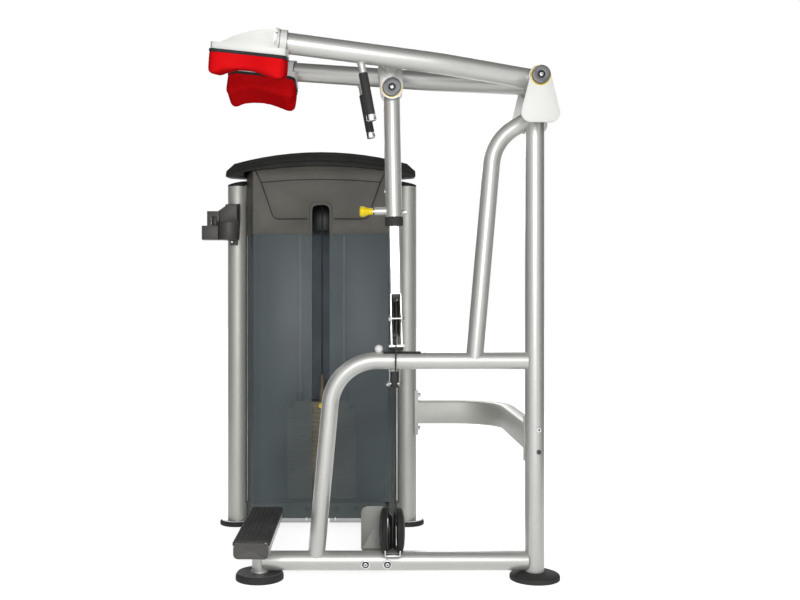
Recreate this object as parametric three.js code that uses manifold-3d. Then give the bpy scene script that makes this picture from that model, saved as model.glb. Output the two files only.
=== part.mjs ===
// A standing calf raise machine with a cable-driven weight stack.
// Lengths are millimetres. +X runs from the step to the main post, +Y from the user's side back to the
// weight tower, +Z up. The origin is on the floor, under the centre of the main post.
import * as THREE from "three";
import { mergeVertices } from "three/addons/utils/BufferGeometryUtils.js";
import Module from "manifold-3d";

const wasm = await Module();
wasm.setup();

// Clearances that the whole machine shares
const seatGap = 0.3;
const runGap = 1;
const boreGap = 0.5;
const overrun = 12;
const weldDepth = 2;

// Facets of round work, counts and angles
const tubeSides = 18;
const rodSides = 12;
const cableSides = 8;
const hexSides = 6;
const bendStep = Math.PI / 12;
const arcSteps = 1;
const plateArcSteps = 4;
const weldTolerance = 1e-4;

// Main post and its domed rubber foot
const postRadius = 31.75;
const tubeWall = 3;
const postFootRadius = 83.5;
const postFootShoulder = 81;
const postFootRim = 9;
const postFootCrown = 27;
const postFootCollar = 44;
const postFootFloor = 6;

// Head tube that carries the two pivot plates on top of the post
const headTubeZ = 1540;
const headTubeRadius = 30;

// Base tube, the step at its far end, and the step's foot
const baseZ = 61;
const baseRadius = 32;
const stepX = -912;
const stepPostRadius = 25.5;
const baseTubeEnd = 9;
const stepFootRadius = 80;
const stepFootHeight = 23;
const stepDiscRadius = 74;
const stepDiscThickness = 5;
const stepBottom = 132;
const stepHeight = 49;
const stepWidth = 108;
const stepLength = 496;
const stepCorner = 13;
const stepWall = 3;
const stepCapThickness = 8;
const stepCapRelief = 6;
const stepPlugDepth = 20;
const treadThickness = 5;
const treadOverhang = 2.5;
const treadSkirt = 10;
const treadRibs = 7;
const treadRibDepth = 1.6;
const treadRibHalfWidth = 2.2;
const treadSeamHalfWidth = 1.5;

// Middle tube: it leaves the post level and bends down to the base tube
const midZ = 723.7;
const midRadius = 28.5;
const midLegTopX = -665.3;
const midLegFootX = -724.4;
const midBendRadius = 155;

// Brace from the middle tube up to the head tube
const braceRadius = 28.5;
const braceFootX = -199;
const braceCornerX = -137;
const braceCornerZ = 1450;
const braceBendRadius = 150;

// Pivot plates, the hub between them and the axle through all three
const hubZ = 1645;
const plateOuterY = 115;
const plateThickness = 12;
const plateTopRadius = 33;
const plateBaseRadius = 30;
const plateBaseSpread = 32;
const plateBaseZ = 1525;
const hubRadius = 36;
const axleRadius = 12.5;
const axleCapRadius = 30.5;
const axleCapThickness = 9;
const axleCapBevel = 3;
const axleRingRadius = 31.5;
const axleRingThickness = 2;

// Lever arms, mirrored about the middle plane
const armRadius = 33;
const armWall = 3;
const armRootY = 39;
const armBendX = -322;
const armBendY = 129;
const armBendZ = 1678;
const armEndX = -826;
const armEndY = 197;
const armEndZ = 1728;
const armBendRadius = 600;

// Hand grips under the arms
const gripTopShare = 0.514;
const gripLeanX = 34;
const gripLeanZ = -181;
const gripBarRadius = 12;
const gripStubLength = 38;
const gripRadius = 14.75;
const gripLength = 133;
const gripEndRadius = 15.8;
const gripEndLength = 21;
const gripEndWall = 4;

// Cross tube between the arms, with the two ears that hold the push rod's pin
const crossX = -481;
const crossZ = 1693;
const crossRadius = 30;
const earOuterY = 48;
const earThickness = 10;
const earTopRadius = 39;
const earRadius = 37;
const pinX = -475;
const pinZ = 1620;
const pinRadius = 10;

// Shoulder pads: the pad frame's origin is the middle of the backing board's upper face
const padReach = 92;
const padSpread = 8;
const padDrop = 35.5;
const padX = armEndX - padReach;
const padY = armEndY + padSpread;
const padZ = armEndZ - padDrop;
const padRoll = 0.19;
const padPitch = 0.103;
const padLength = 240;
const padWidth = 165;
const padCorner = 28;
const boardThickness = 7;
const padLobeDepth = 52;
const padArchDepth = 22;
const padArchCentreShare = -0.03;
const padArchHalfShare = 0.4;
const padCrown = 7;
const padEdge = 10;
const padRings = 3;
const padSteps = 6;
const panLength = 234;
const panWidth = 150;
const panHeight = 20;
const panWall = 4;
const panCorner = 20;
const flangeThickness = 12;
const flangeHalfWidth = 36;
const flangeTopRise = 43;
const clampLength = 18;
const clampWall = 6;
const gussetThickness = 6;
const gussetTipHeight = 5;

// Cable wheels and the cable
const wheelPitch = 56;
const rearWheelPitch = 44;
const grooveDepth = 6;
const wheelHalfWidth = 12;
const grooveFlare = 5;
const cableRadius = 2.75;
const cableX = -473;
const cableWheelZ = 160;
const cableWheelSteps = 8;

// Push rod: upper tube, collar, square inner tube, fork and rubber stop. Its frame hangs from the pin.
const rodLean = 0.0199;
const linkTubeRadius = 27.5;
const linkTubeWall = 3;
const linkTubeLength = 434;
const bearingRadius = 30;
const linkCollarRadius = 30.5;
const linkCollarHeight = 30;
const linkCollarSocket = 14;
const rodSide = 38;
const rodCorner = 7;
const rodWall = 3;
const rodTopDrop = 222;
const wheelDrop = 755;
const forkClearance = 22;
const forkTopDrop = wheelDrop - wheelPitch - grooveDepth - forkClearance;
const stopPlateClearance = 28;
const stopPlateDrop = wheelDrop + wheelPitch + grooveDepth + stopPlateClearance;
const forkInnerHalf = 15;
const forkWall = 3;
const forkDepth = 38;
const forkCorner = 7;
const stopPlateWidth = 51;
const stopPlateThickness = 5;
const stopTopRadius = 21;
const stopBaseRadius = 18.5;
const stopClearance = 2;
const wheelAxleRadius = 8;
const wheelAxleHeadRadius = 9;
const wheelAxleHeadLength = 7;

// Pull pin that locks the square tube
const pullDrop = 400;
const barrelRadius = 12;
const barrelReach = 62;
const plungerRadius = 5.5;
const pinHolePitch = 40;
const pinHolesAbove = 3;
const pinHolesBelow = 5;
const pullNeckRadius = 11;
const pullFlareRadius = 18;
const pullKnobLength = 45;
const pullNeckShare = 0.35;
const pullFlareShare = 0.6;
const pullRoundShare = 0.85;

// Front cable wheel: strap bracket on the base tube and dished guards outside it
const bracketInnerHalf = 19;
const bracketWall = 5;
const bracketHalfLength = 55;
const bracketLegHalf = 30;
const bracketTopRadius = 18;
const guardRadius = 75;
const guardInnerHalf = 16.5;
const guardOuterHalf = 42.5;
const guardWall = 3;
const guardRimLength = 13;
const guardShoulderShare = 0.88;
const guardCrownShare = 0.5;
const guardSides = 24;

// Anchor for the cable's end under the middle tube
const anchorX = -464;
const anchorOuterHalf = 18.5;
const anchorWall = 3.5;
const anchorTopRadius = 14;
const anchorBlockHeight = 26;
const anchorZ = 648;
const anchorReach = 14;

// Saddle on top of the middle tube, under the push rod's stop, and the ball knob at its end
const saddleLeft = -502;
const saddleRight = -378;
const saddleWall = 2.5;
const saddleHalfAngle = 0.62;
const ballX = -517;
const ballZ = 763;
const ballRadius = 13.6;
const ballStemRadius = 5;

// Weight tower: columns, their feet and the bottom beam
const towerX = -740;
const towerY = 805;
const columnSpread = 350;
const columnRadius = 39.5;
const columnTop = 1393;
const columnFootRadius = 71.5;
const columnFootHeight = 24;
const columnDiscRadius = 66;
const columnDiscRise = 4;
const capLow = 12;
const capHigh = 23;
const sillBottom = 26;
const sillHeight = 66;
const sillDepth = 50;
const sillWall = 4;
const sillCorner = 6;
const rearForkInner = 13;
const rearForkWall = 3.5;
const rearForkRadius = 18;
const rearForkFoot = 26;

// Top pulley frame: two plates with the wheels between them
const topWheelDrop = 8;
const topWheelZ = columnTop - topWheelDrop;
const topPlateGapHalf = 15;
const topPlateThickness = 6;
const topPlateBelow = 60;
const topPlateAbove = 13;
const topPlateBottom = topWheelZ - topPlateBelow;
const topPlateTop = topWheelZ + topPlateAbove;
const rodBlockHeight = 30;
const rodBlockWidth = 34;
const rodBlockSink = 5;

// Shroud, header, panels and cover
const shroudFront = 680;
const shroudBack = 905;
const shroudHalfFront = 272;
const shroudHalfBack = 308;
const shroudShoulder = 80;
const sheet = 4;
const headerSheet = 6;
const headerDrop = 203;
const headerBottom = columnTop - headerDrop;
const headerPeakRise = 69;
const headerPeak = columnTop + headerPeakRise;
const headerEndDrop = 25;
const slotHalf = 35;
const slotHeight = 117;
const slotTop = headerBottom + slotHeight;
const slotCorner = 20;
const surroundWall = 10;
const surroundDepth = 24;
const surroundProud = 3;
const surroundRise = 10;
const fasciaTopHalf = 267;
const fasciaHeight = 196;
const fasciaDepth = 1.5;
const placardHalf = 187;
const placardLift = 56;
const placardBottomZ = headerBottom + placardLift;
const placardCorner = 28;
const placardHeight = 161;
const placardSag = 11;
const placardDepth = 3;
const panelBottom = 32;
const notchGap = 1;
const cableNotchHalf = 10;
const coverHalfLength = 379;
const coverFront = 664;
const coverBack = 921;
const coverPeakRise = 56;
const coverPeak = headerPeak + coverPeakRise;
const coverShoulderHalf = 346;
const coverShoulderRise = 78;
const coverShoulderZ = columnTop + coverShoulderRise;
const coverTipRise = 48;
const coverTipZ = columnTop + coverTipRise;
const coverWingRise = 25;
const coverWingZ = columnTop + coverWingRise;
const coverWingSlope = 0.07;
const coverCornerY = 800;
const coverBand = 20;
const coverStep = 12;
const coverWall = 8;
const coverSteps = 12;
const coverLip = 24;

// Weight stack, its guide rods and the head plate
const stackPlates = 19;
const platePitch = 19.25;
const stackWidth = 280;
const stackDepth = 110;
const stackBottom = 115.5;
const plateChamfer = 2;
const guideSpread = 91;
const guideRadius = 9.5;
const bumperRadius = 21;
const headPlateWidth = 226;
const headPlateHeight = 27;
const headCollarRadius = 17;
const headCollarHeight = 43;
const stemRadius = 13;
const stemHeight = 50;
const stemTipRadius = 8;
const stemTipHeight = 58;
const selectorRadius = 5;
const selectorLength = 70;
const selectorKnobRadius = 11;
const selectorKnobLength = 22;
const selectorZ = 14;

// Connectors between the front frame and the tower
const lowBeamX = -525;
const lowBeamStart = 18;
const lowBeamWidth = 96;
const lowBeamBottom = 27;
const lowBeamHeight = 54;
const lowFlangeThickness = 8;
const shieldY = 83;
const shieldThickness = 5;
const shieldLeft = -576;
const shieldRight = -487;
const shieldTop = 224;
const shieldCorner = 20;
const highBeamZ = 463;
const highBeamHeight = 96;
const highBeamDepth = 50;
const highBeamCorner = 12;
const highBeamBendRadius = 190;
const highFlangeHeight = 182;
const highFlangeWidth = 70;
const highFlangeThickness = 6;
const postFlangeHeight = 150;
const flangeWrapShare = 0.78;

// Bottle holder in front of the left column
const holderX = -1114;
const holderGap = 2.5;
const holderBottom = 1168;
const cupTopRadius = 47;
const cupBaseRadius = 42;
const cupHeight = 78;
const cupRimSlope = 0.25;
const cupTurn = -0.45;
const holderY = towerY - columnRadius - cupTopRadius - holderGap;
const holderWall = 3.5;
const holderBackHeight = 149;
const holderBackShare = 0.2;
const holderBackLean = 0.3;
const shoulderLeft = 58;
const shoulderTopX = 6;
const shoulderDrop = 36;
const pocketLeft = 105;
const pocketRight = 40;
const pocketDepth = 56;
const pocketHeight = 56;
const pocketBackLeft = 90;
const pocketBackHeight = 118;
const pocketBackDepth = 16;
const pocketWindowLeft = 73;
const pocketWindowRight = 60;
const pocketWindowBottom = 60;
const pocketWindowTop = 93;
const holderStrapHeight = 60;
const holderTabHalf = 15;
const holderTabX = 16;
const holderTabDrop = 19;
const holderTabThickness = 5;

const group = new THREE.Group();

// Materials
const finish = (color, roughness, metalness = 0) =>
  new THREE.MeshStandardMaterial({ color, roughness, metalness });
const silverPaint = finish(0xc9cac6, 0.35, 0.55);
const satinChrome = finish(0xd8dadc, 0.2, 1);
const darkSteel = finish(0x3b3c3c, 0.45, 0.6);
const blackRubber = finish(0x262626, 0.85);
const darkPlastic = finish(0x4a4b4a, 0.6);
const redVinyl = finish(0xc5161c, 0.45);
const yellowPlastic = finish(0xf2c200, 0.4);
const whitePlastic = finish(0xf2f2ef, 0.3);
const smokedAcrylic = new THREE.MeshStandardMaterial({
  color: 0x3e4c57,
  roughness: 0.12,
  transparent: true,
  opacity: 0.8,
});

// Solids and placing

const at = (x, y, z) => new THREE.Vector3(x, y, z);

// Turns a closed three.js geometry into a solid that can be joined and cut.
function solid(geometry) {
  const bare = geometry.clone();
  bare.deleteAttribute("normal");
  bare.deleteAttribute("uv");
  const merged = mergeVertices(bare, weldTolerance);
  const corners = [];
  for (let i = 0; i < merged.index.count; i += 3) {
    const [a, b, c] = [0, 1, 2].map((k) => merged.index.getX(i + k));
    if (a !== b && b !== c && c !== a) corners.push(a, b, c);
  }
  return new wasm.Manifold(
    new wasm.Mesh({
      numProp: 3,
      vertProperties: merged.attributes.position.array,
      triVerts: new Uint32Array(corners),
    }),
  );
}

// The triangles of a solid as a three.js geometry.
function geometryOf(made) {
  const mesh = made.getMesh();
  const geometry = new THREE.BufferGeometry();
  geometry.setAttribute("position", new THREE.BufferAttribute(new Float32Array(mesh.vertProperties), 3));
  geometry.setIndex(new THREE.BufferAttribute(new Uint32Array(mesh.triVerts), 1));
  return geometry;
}

// The same solid at another place.
const moved = (made, x, y, z) => solid(geometryOf(made).translate(x, y, z));

// Adds a solid to a group as one named mesh.
function addPart(name, made, material, parent = group) {
  const faceted = geometryOf(made).toNonIndexed();
  faceted.computeVertexNormals();
  const part = new THREE.Mesh(faceted, material);
  part.name = name;
  parent.add(part);
  return part;
}

const joined = (...solids) => solids.reduce((whole, next) => whole.add(next));

// A line whose corners are rounded. Its parameter runs over its stations, so an extrusion along it puts
// one ring at each station: a straight run costs one step and a bend gets as many as it needs.
class BentPath extends THREE.Curve {
  constructor(corners, bendRadius = 0, step = bendStep) {
    super();
    this.stations = [];
    const radii = corners.map((_, i) => bendRadius[i] ?? bendRadius);
    corners.forEach((corner, i) => {
      const before = corners[i - 1];
      const after = corners[i + 1];
      const inward = before && corner.clone().sub(before).normalize();
      const outward = after && after.clone().sub(corner).normalize();
      if (!before || !after) {
        this.addStation(corner, inward || outward);
        return;
      }
      const turn = inward.angleTo(outward);
      const reach = radii[i] * Math.tan(turn / 2);
      const axis = inward.clone().cross(outward).normalize();
      const start = corner.clone().addScaledVector(inward, -reach);
      const toCentre = axis.clone().cross(inward).multiplyScalar(radii[i]);
      const centre = start.clone().add(toCentre);
      const steps = Math.max(2, Math.ceil(turn / step));
      for (let k = 0; k <= steps; k++) {
        const angle = (turn * k) / steps;
        const point = toCentre.clone().negate().applyAxisAngle(axis, angle).add(centre);
        this.addStation(point, inward.clone().applyAxisAngle(axis, angle));
      }
    });
  }
  addStation(point, tangent) {
    const last = this.stations.at(-1);
    if (!last || last.point.distanceTo(point) > weldTolerance) this.stations.push({ point, tangent });
  }
  get steps() {
    return this.stations.length - 1;
  }
  getPointAt(u, target = new THREE.Vector3()) {
    return target.copy(this.stations[Math.round(u * this.steps)].point);
  }
  getTangentAt(u, target = new THREE.Vector3()) {
    return target.copy(this.stations[Math.round(u * this.steps)].tangent);
  }
}

const discShape = (radius) => new THREE.Shape().absarc(0, 0, radius, 0, 2 * Math.PI);

function ringShape(radius, wall) {
  const shape = discShape(radius);
  shape.holes.push(new THREE.Path().absarc(0, 0, radius - wall, 0, 2 * Math.PI, true));
  return shape;
}

// A rectangle with round corners, centred on the origin.
function roundedRect(width, height, corner) {
  const x = width / 2 - corner;
  const y = height / 2 - corner;
  const quarter = Math.PI / 2;
  return new THREE.Shape()
    .absarc(x, y, corner, 0, quarter)
    .absarc(-x, y, corner, quarter, 2 * quarter)
    .absarc(-x, -y, corner, 2 * quarter, 3 * quarter)
    .absarc(x, -y, corner, 3 * quarter, 4 * quarter);
}

function boxSection(width, height, corner, wall) {
  const shape = roundedRect(width, height, corner);
  shape.holes.push(
    roundedRect(width - 2 * wall, height - 2 * wall, Math.max(corner - wall, wall / 2)),
  );
  return shape;
}

// The outline that a taut band makes round circles given counter-clockwise as [x, y, radius].
function bandOutline(circles) {
  const shape = new THREE.Shape();
  const tangentAngle = ([ax, ay, ar], [bx, by, br]) =>
    Math.atan2(by - ay, bx - ax) - Math.acos((ar - br) / Math.hypot(bx - ax, by - ay));
  circles.forEach((circle, i) => {
    const before = circles[(i + circles.length - 1) % circles.length];
    const after = circles[(i + 1) % circles.length];
    const from = tangentAngle(before, circle);
    let to = tangentAngle(circle, after);
    while (to < from) to += 2 * Math.PI;
    shape.absarc(circle[0], circle[1], circle[2], from, to);
  });
  return shape;
}

const outline = (points) => new THREE.Shape(points.map(([x, y]) => new THREE.Vector2(x, y)));

// The outline of a sheet folded along a line of points; its wall lies on the left of the line.
function foldedSheet(points, wall) {
  const fold = points.map(([x, y]) => new THREE.Vector2(x, y));
  const left = (a, b) => b.clone().sub(a).normalize().rotateAround(new THREE.Vector2(), Math.PI / 2);
  const inner = fold.map((point, i) => {
    const before = fold[i - 1] ? left(fold[i - 1], point) : left(point, fold[i + 1]);
    const after = fold[i + 1] ? left(point, fold[i + 1]) : before;
    const middle = before.clone().add(after).normalize();
    return point.clone().addScaledVector(middle, wall / middle.dot(before));
  });
  return new THREE.Shape([...fold, ...inner.reverse()]);
}

// Extrusions of a drawn outline: upright from z0 to z1, or of a side view along Y or X.
function prismZ(shape, z0, z1, segments = arcSteps) {
  const options = { depth: z1 - z0, bevelEnabled: false, curveSegments: segments };
  return solid(new THREE.ExtrudeGeometry(shape, options).translate(0, 0, z0));
}

function prismY(shape, y0, y1, segments = arcSteps) {
  const options = { depth: y1 - y0, bevelEnabled: false, curveSegments: segments };
  const geometry = new THREE.ExtrudeGeometry(shape, options);
  return solid(geometry.rotateX(Math.PI / 2).translate(0, y1, 0));
}

function prismX(shape, x0, x1, segments = arcSteps) {
  const options = { depth: x1 - x0, bevelEnabled: false, curveSegments: segments };
  const turn = new THREE.Matrix4().makeBasis(at(0, 1, 0), at(0, 0, 1), at(1, 0, 0));
  const geometry = new THREE.ExtrudeGeometry(shape, options);
  return solid(geometry.applyMatrix4(turn).translate(x0, 0, 0));
}

function box(x0, x1, y0, y1, z0, z1) {
  const geometry = new THREE.BoxGeometry(x1 - x0, y1 - y0, z1 - z0);
  return solid(geometry.translate((x0 + x1) / 2, (y0 + y1) / 2, (z0 + z1) / 2));
}

// A section swept along a path, and the round tube and round bar made that way.
function swept(shape, path, segments = arcSteps) {
  const options = { extrudePath: path, steps: path.steps, curveSegments: segments };
  return solid(new THREE.ExtrudeGeometry(shape, options));
}

const pipe = (path, radius, wall) => swept(ringShape(radius, wall), path, tubeSides / 2);
const bar = (path, radius, sides = tubeSides) => swept(discShape(radius), path, sides / 2);
const line = (a, b) => new BentPath([a, b]);

// A body turned about an axis: the profile is pairs of [radius, height] from the axis and back to it,
// or round a bore.
const axisTurns = {
  x: new THREE.Matrix4().makeRotationZ(-Math.PI / 2),
  y: new THREE.Matrix4(),
  z: new THREE.Matrix4().makeRotationX(Math.PI / 2),
};

function turned(profile, axis, centre, sides = tubeSides) {
  const closed = profile[0][0] > 0 ? [...profile, profile[0]] : profile;
  const points = closed.map(([r, h]) => new THREE.Vector2(r, h));
  const geometry = new THREE.LatheGeometry(points, sides);
  return solid(geometry.applyMatrix4(axisTurns[axis]).translate(centre.x, centre.y, centre.z));
}

// Mirrors a function's result on both sides of the middle plane: front is at -Y, back at +Y.
const bothSides = (make) => [["front", -1], ["back", 1]].forEach(([side, sign]) => make(side, sign));

// Centre lines that more than one piece follows

const postTop = at(0, 0, headTubeZ);
const postLine = line(at(0, 0, postFootFloor + seatGap), postTop);
const headHalf = plateOuterY - plateThickness - seatGap;
const headLine = line(at(0, -headHalf, headTubeZ), at(0, headHalf, headTubeZ));
const baseLine = line(at(stepX + baseTubeEnd, 0, baseZ), at(0, 0, baseZ));
const midPath = new BentPath(
  [at(midLegFootX, 0, baseZ), at(midLegTopX, 0, midZ), at(0, 0, midZ)],
  midBendRadius,
);
const bracePath = new BentPath(
  [at(braceFootX, 0, midZ), at(braceCornerX, 0, braceCornerZ), postTop],
  braceBendRadius,
);
const armPath = (sign) =>
  new BentPath(
    [
      at(0, sign * armRootY, hubZ),
      at(armBendX, sign * armBendY, armBendZ),
      at(armEndX, sign * armEndY, armEndZ),
    ],
    armBendRadius,
    bendStep / 4,
  );

// The space that a round member takes, with the gap that its neighbours keep.
const envelope = (path, radius, gap = seatGap) => bar(path, radius + gap);
const postEnvelope = envelope(line(at(0, 0, 0), postTop), postRadius);
const headEnvelope = envelope(headLine, headTubeRadius);
const baseEnvelope = envelope(baseLine, baseRadius);
const midEnvelope = envelope(midPath, midRadius);

// A cable wheel turned about X or Y, with a flat-bottomed groove in its rim.
function cableWheel(axis, centre, pitch = wheelPitch) {
  const bore = wheelAxleRadius + boreGap;
  const grooveRadius = cableRadius + seatGap;
  const grooveFloor = pitch - grooveRadius;
  const rim = pitch + grooveDepth;
  const grooveMouth = grooveRadius + grooveFlare;
  const half = [
    [grooveFloor, grooveRadius / 2],
    [rim, grooveMouth],
    [rim, wheelHalfWidth],
    [bore, wheelHalfWidth],
  ];
  return turned([...half.map(([r, h]) => [r, -h]).reverse(), ...half], axis, centre);
}

// Front frame

function addMainPost() {
  const bore = bar(
    line(at(0, -headHalf - overrun, headTubeZ), at(0, headHalf + overrun, headTubeZ)),
    headTubeRadius - tubeWall,
  );
  const post = joined(pipe(postLine, postRadius, tubeWall), bar(headLine, headTubeRadius)).subtract(bore);
  addPart("main_post", post, silverPaint);
  const socket = postRadius + seatGap;
  const foot = [
    [0, 0],
    [postFootRadius, 0],
    [postFootShoulder, postFootRim],
    [(postFootShoulder + postFootCollar) / 2, (postFootRim + 2 * postFootCrown) / 3],
    [postFootCollar, postFootCrown],
    [socket, postFootCrown],
    [socket, postFootFloor],
    [0, postFootFloor],
  ];
  addPart("post_foot", turned(foot, "z", at(0, 0, 0), guardSides), blackRubber);
}

// The base tube carries the strap bracket of the front cable wheel.
function addBaseTube() {
  const tubeTop = baseZ + baseRadius;
  const outer = bracketInnerHalf + bracketWall;
  const floor = box(
    cableX - outer, cableX + outer,
    -bracketHalfLength, bracketHalfLength,
    tubeTop - weldDepth, tubeTop + bracketWall,
  );
  const legOutline = bandOutline([
    [-bracketLegHalf + bracketWall, tubeTop, bracketWall],
    [bracketLegHalf - bracketWall, tubeTop, bracketWall],
    [0, cableWheelZ, bracketTopRadius],
  ]);
  const leg = (x) => prismX(legOutline, x, x + bracketWall);
  const legs = joined(leg(cableX - outer), leg(cableX + bracketInnerHalf));
  const axleHole = bar(
    line(at(cableX - outer - overrun, 0, cableWheelZ), at(cableX + outer + overrun, 0, cableWheelZ)),
    wheelAxleRadius + seatGap,
    rodSides,
  );
  const bore = envelope(baseLine, baseRadius - tubeWall, 0);
  const bracket = joined(floor, legs).subtract(axleHole).subtract(bore);
  const tube = joined(pipe(baseLine, baseRadius, tubeWall), bracket)
    .subtract(postEnvelope)
    .subtract(envelope(line(at(stepX, 0, 0), at(stepX, 0, stepBottom)), stepPostRadius));
  addPart("base_tube", tube, silverPaint);
}

function addStep() {
  const boreRadius = stepPostRadius - tubeWall;
  const collarRadius = stepPostRadius + tubeWall;
  const foot = [
    [boreRadius, 0],
    [stepFootRadius, 0],
    [stepFootRadius, stepFootHeight - stepDiscThickness],
    [stepFootRadius - stepDiscThickness, stepFootHeight],
    [stepDiscRadius, stepFootHeight],
    [stepDiscRadius, stepFootHeight + stepDiscThickness / 2],
    [collarRadius, stepFootHeight + stepDiscThickness / 2],
    [stepPostRadius, stepFootHeight + stepDiscThickness],
    [stepPostRadius, stepBottom - seatGap],
    [boreRadius, stepBottom - seatGap],
  ];
  addPart("step_post", turned(foot, "z", at(stepX, 0, 0)), silverPaint);

  const centreZ = stepBottom + stepHeight / 2;
  const half = stepLength / 2;
  const beam = prismY(boxSection(stepWidth, stepHeight, stepCorner, stepWall), -half, half);
  addPart("step_beam", beam, silverPaint).position.set(stepX, 0, centreZ);

  const plugSection = roundedRect(
    stepWidth - 2 * (stepWall + seatGap),
    stepHeight - 2 * (stepWall + seatGap),
    stepCorner - stepWall,
  );
  const face = half + seatGap;
  const end = face + stepCapThickness;
  const inset = 3 * stepWall;
  const rim = prismY(roundedRect(stepWidth, stepHeight, stepCorner), face, end);
  const plug = prismY(plugSection, face - stepPlugDepth, face + weldDepth);
  const hollow = box(
    -stepWidth / 2 + inset, stepWidth / 2 - inset,
    face - stepPlugDepth - overrun, face,
    -stepHeight / 2 + inset, stepHeight / 2 - inset,
  );
  const relief = sunkPyramid(stepWidth - inset, stepHeight - inset, stepCapRelief, end);
  const cap = joined(rim, plug).subtract(hollow).subtract(relief);
  bothSides((side, sign) => {
    const mesh = addPart("step_cap_" + side, cap, darkPlastic);
    mesh.position.set(stepX, 0, centreZ);
    mesh.rotation.z = sign < 0 ? Math.PI : 0;
  });

  addPart("step_tread", tread(), blackRubber).position.set(stepX, 0, centreZ);
}

// A four-sided pyramid whose base lies across Y at a height y and whose point is sunk towards -Y.
function sunkPyramid(width, height, depth, y) {
  const cone = new THREE.ConeGeometry(Math.SQRT1_2, 1, 4, 1).rotateY(Math.PI / 4).rotateX(Math.PI);
  return solid(cone.translate(0, -1 / 2, 0).scale(width, depth, height).translate(0, y, 0));
}

// The ribbed rubber tread: a sheet over the beam's top with a skirt down each side and a seam.
function tread() {
  const half = stepLength / 2;
  const inner = seatGap;
  const outer = seatGap + treadOverhang;
  const lower = stepHeight / 2 - treadSkirt;
  const top = stepHeight / 2 + seatGap + treadThickness;
  const shell = prismY(
    outline([
      [-stepWidth / 2 - outer, lower],
      [stepWidth / 2 + outer, lower],
      [stepWidth / 2 + outer, top - treadThickness],
      [stepWidth / 2 - treadThickness, top],
      [-stepWidth / 2 + treadThickness, top],
      [-stepWidth / 2 - outer, top - treadThickness],
    ]),
    -half,
    half,
  );
  const beam = prismY(
    roundedRect(stepWidth + 2 * inner, stepHeight + 2 * inner, stepCorner),
    -half - overrun,
    half + overrun,
  );
  const pitch = (stepWidth - 4 * treadThickness) / (treadRibs - 1);
  const notch = (x) =>
    prismY(
      outline([
        [x - treadRibHalfWidth, top + overrun],
        [x - treadRibHalfWidth, top],
        [x, top - treadRibDepth],
        [x + treadRibHalfWidth, top],
        [x + treadRibHalfWidth, top + overrun],
      ]),
      -half - overrun,
      half + overrun,
    );
  const ribs = Array.from({ length: treadRibs }, (_, i) => notch((i - (treadRibs - 1) / 2) * pitch));
  const seam = box(
    -stepWidth, stepWidth,
    -treadSeamHalfWidth, treadSeamHalfWidth,
    top - treadRibDepth, top + overrun,
  );
  return shell.subtract(beam).subtract(joined(...ribs)).subtract(seam);
}

// The middle tube carries the anchor for the cable's end: two straps and a block behind and below it.
function addMidTube() {
  const y = wheelPitch;
  const strapOutline = bandOutline([
    [-anchorTopRadius, midZ - midRadius, weldDepth],
    [y, anchorZ, anchorTopRadius],
    [y, midZ - midRadius, anchorTopRadius],
  ]);
  const strap = (x) => prismX(strapOutline, x, x + anchorWall);
  const block = box(
    anchorX - anchorOuterHalf + weldDepth, anchorX + anchorOuterHalf - weldDepth,
    y - anchorReach + weldDepth, y + anchorReach - weldDepth,
    anchorZ - anchorBlockHeight / 2, anchorZ + anchorBlockHeight / 2,
  );
  const anchor = joined(
    strap(anchorX - anchorOuterHalf),
    strap(anchorX + anchorOuterHalf - anchorWall),
    block,
  ).subtract(bar(midPath, midRadius - tubeWall));
  const tube = joined(pipe(midPath, midRadius, tubeWall), anchor);
  addPart("mid_tube", tube.subtract(baseEnvelope).subtract(postEnvelope), silverPaint);
}

function addBrace() {
  const tube = pipe(bracePath, braceRadius, tubeWall)
    .subtract(midEnvelope)
    .subtract(postEnvelope)
    .subtract(headEnvelope);
  addPart("brace_tube", tube, silverPaint);
}

function addPivotPlates() {
  const shape = bandOutline([
    [-plateBaseSpread, plateBaseZ, plateBaseRadius],
    [plateBaseSpread, plateBaseZ, plateBaseRadius],
    [0, hubZ, plateTopRadius],
  ]);
  const half = plateThickness / 2;
  const hole = bar(line(at(0, -plateThickness, hubZ), at(0, plateThickness, hubZ)), axleRadius + boreGap);
  const plate = prismY(shape, -half, half, plateArcSteps).subtract(hole);
  bothSides((side, sign) => {
    addPart("pivot_plate_" + side, plate, silverPaint).position.y = sign * (plateOuterY - half);
  });
}

// An axle along Y with a bevelled cap on a thin ring at each end.
function cappedAxle(radius, face, centre) {
  const ring = face + seatGap;
  const cap = ring + axleRingThickness;
  const end = cap + axleCapThickness;
  const half = [
    [radius, ring],
    [axleRingRadius, ring],
    [axleRingRadius, cap],
    [axleCapRadius, cap],
    [axleCapRadius, end - axleCapBevel],
    [axleCapRadius - axleCapBevel, end],
    [0, end],
  ];
  const mirrored = half.map(([r, h]) => [r, -h]).reverse();
  return turned([...mirrored, ...half], "y", centre);
}

// Lever arms

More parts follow.
